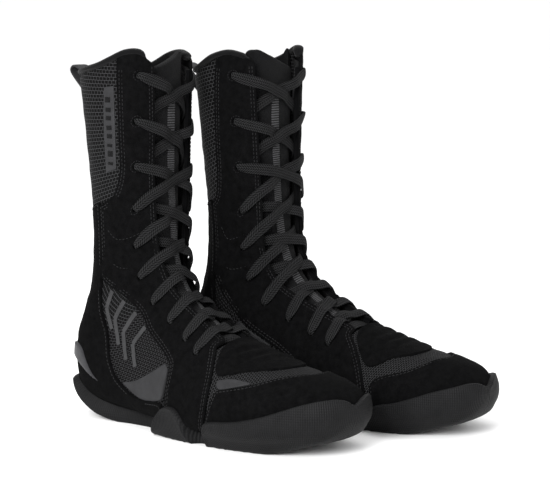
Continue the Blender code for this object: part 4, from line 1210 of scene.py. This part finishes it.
stitched(quarter_l, (2.4, 4.6), suede_top, not_collar)
stitched(quarter_m, (2.4, 4.6), suede_top, not_collar)
stitched(guard_loop, (2.2,), suede_top, above_sole)
stitched(heel_loop, (2.0,), lambda v, w: suede_top(v, w) + 0.4, above_sole)
for lines in (GUIDES_LATERAL, GUIDES_MEDIAL):
    for one in lines:
        v, w = line_of(one)
        stitch_row(v, w, suede_top(v, w) - 0.1, thick=0.5)
for rows, side in ((EYELETS_LATERAL, 1), (EYELETS_MEDIAL, -1)):
    for v, t in rows[:4]:
        ring_loop = np.array(hole_loop(v, t, side, EYELET_RADIUS + 1.7, 30))
        closed = np.concatenate([ring_loop, ring_loop[:1]])
        stitch_row(closed[:, 0], closed[:, 1], suede_top(closed[:, 0], closed[:, 1]), 1.5, 0.7, 0.45)
verts, faces, uvs = merged(STITCHES)
add("stitching", verts, faces, THREAD_MAT, uvs=uvs, stands_for="", rec_slot="trim")

# ---------------------------------------------------------------- floor, light and camera
floor_mesh = bpy.data.meshes.new("floor")
bm = bmesh.new()
bmesh.ops.create_grid(bm, x_segments=2, y_segments=2, size=150.0)
bm.to_mesh(floor_mesh)
bm.free()
floor = bpy.data.objects.new("floor", floor_mesh)
bpy.context.scene.collection.objects.link(floor)
paper = Mat("paper", (0.93, 0.93, 0.93), 0.9, specular=0.1)
floor_mesh.materials.append(paper.mat)

world = bpy.data.worlds.new("studio")
bpy.context.scene.world = world
world.use_nodes = True
world.node_tree.nodes["Background"].inputs["Color"].default_value = (1, 1, 1, 1)
world.node_tree.nodes["Background"].inputs["Strength"].default_value = 1.09


def lamp(name, where, aim, size, watts):
    data = bpy.data.lights.new(name, "AREA")
    data.shape = "RECTANGLE"
    data.size, data.size_y = size
    data.energy = watts
    obj = bpy.data.objects.new(name, data)
    bpy.context.scene.collection.objects.link(obj)
    obj.location = where
    obj.rotation_euler = (Vector(aim) - Vector(where)).to_track_quat("-Z", "Y").to_euler()


AIM = (-0.02, 0.0, 0.12)
lamp("key", (-1.7, -0.5, 0.85), AIM, (0.8, 0.8), 60)
lamp("front", (-0.3, -2.0, 1.0), AIM, (1.2, 0.8), 6)
lamp("top", (0.2, 0.3, 2.1), AIM, (1.2, 1.2), 12)

TARGET = (-0.092886, -0.077378, 0.1573)
AZ = math.radians(-51.9)
EL = math.radians(7.0)
DIST = 1.5
FOCAL_LENGTH = 134.725
camera_data = bpy.data.cameras.new("camera")
camera_data.sensor_width = 36
camera_data.lens = FOCAL_LENGTH
camera_data.clip_start = 0.05
camera = bpy.data.objects.new("camera", camera_data)
bpy.context.scene.collection.objects.link(camera)
back = Vector((math.sin(AZ) * math.cos(EL), -math.cos(AZ) * math.cos(EL), math.sin(EL)))
camera.location = Vector(TARGET) + back * DIST
camera.rotation_euler = (-back).to_track_quat("-Z", "Y").to_euler()
bpy.context.scene.camera = camera
bpy.context.scene.view_settings.view_transform = "Standard"
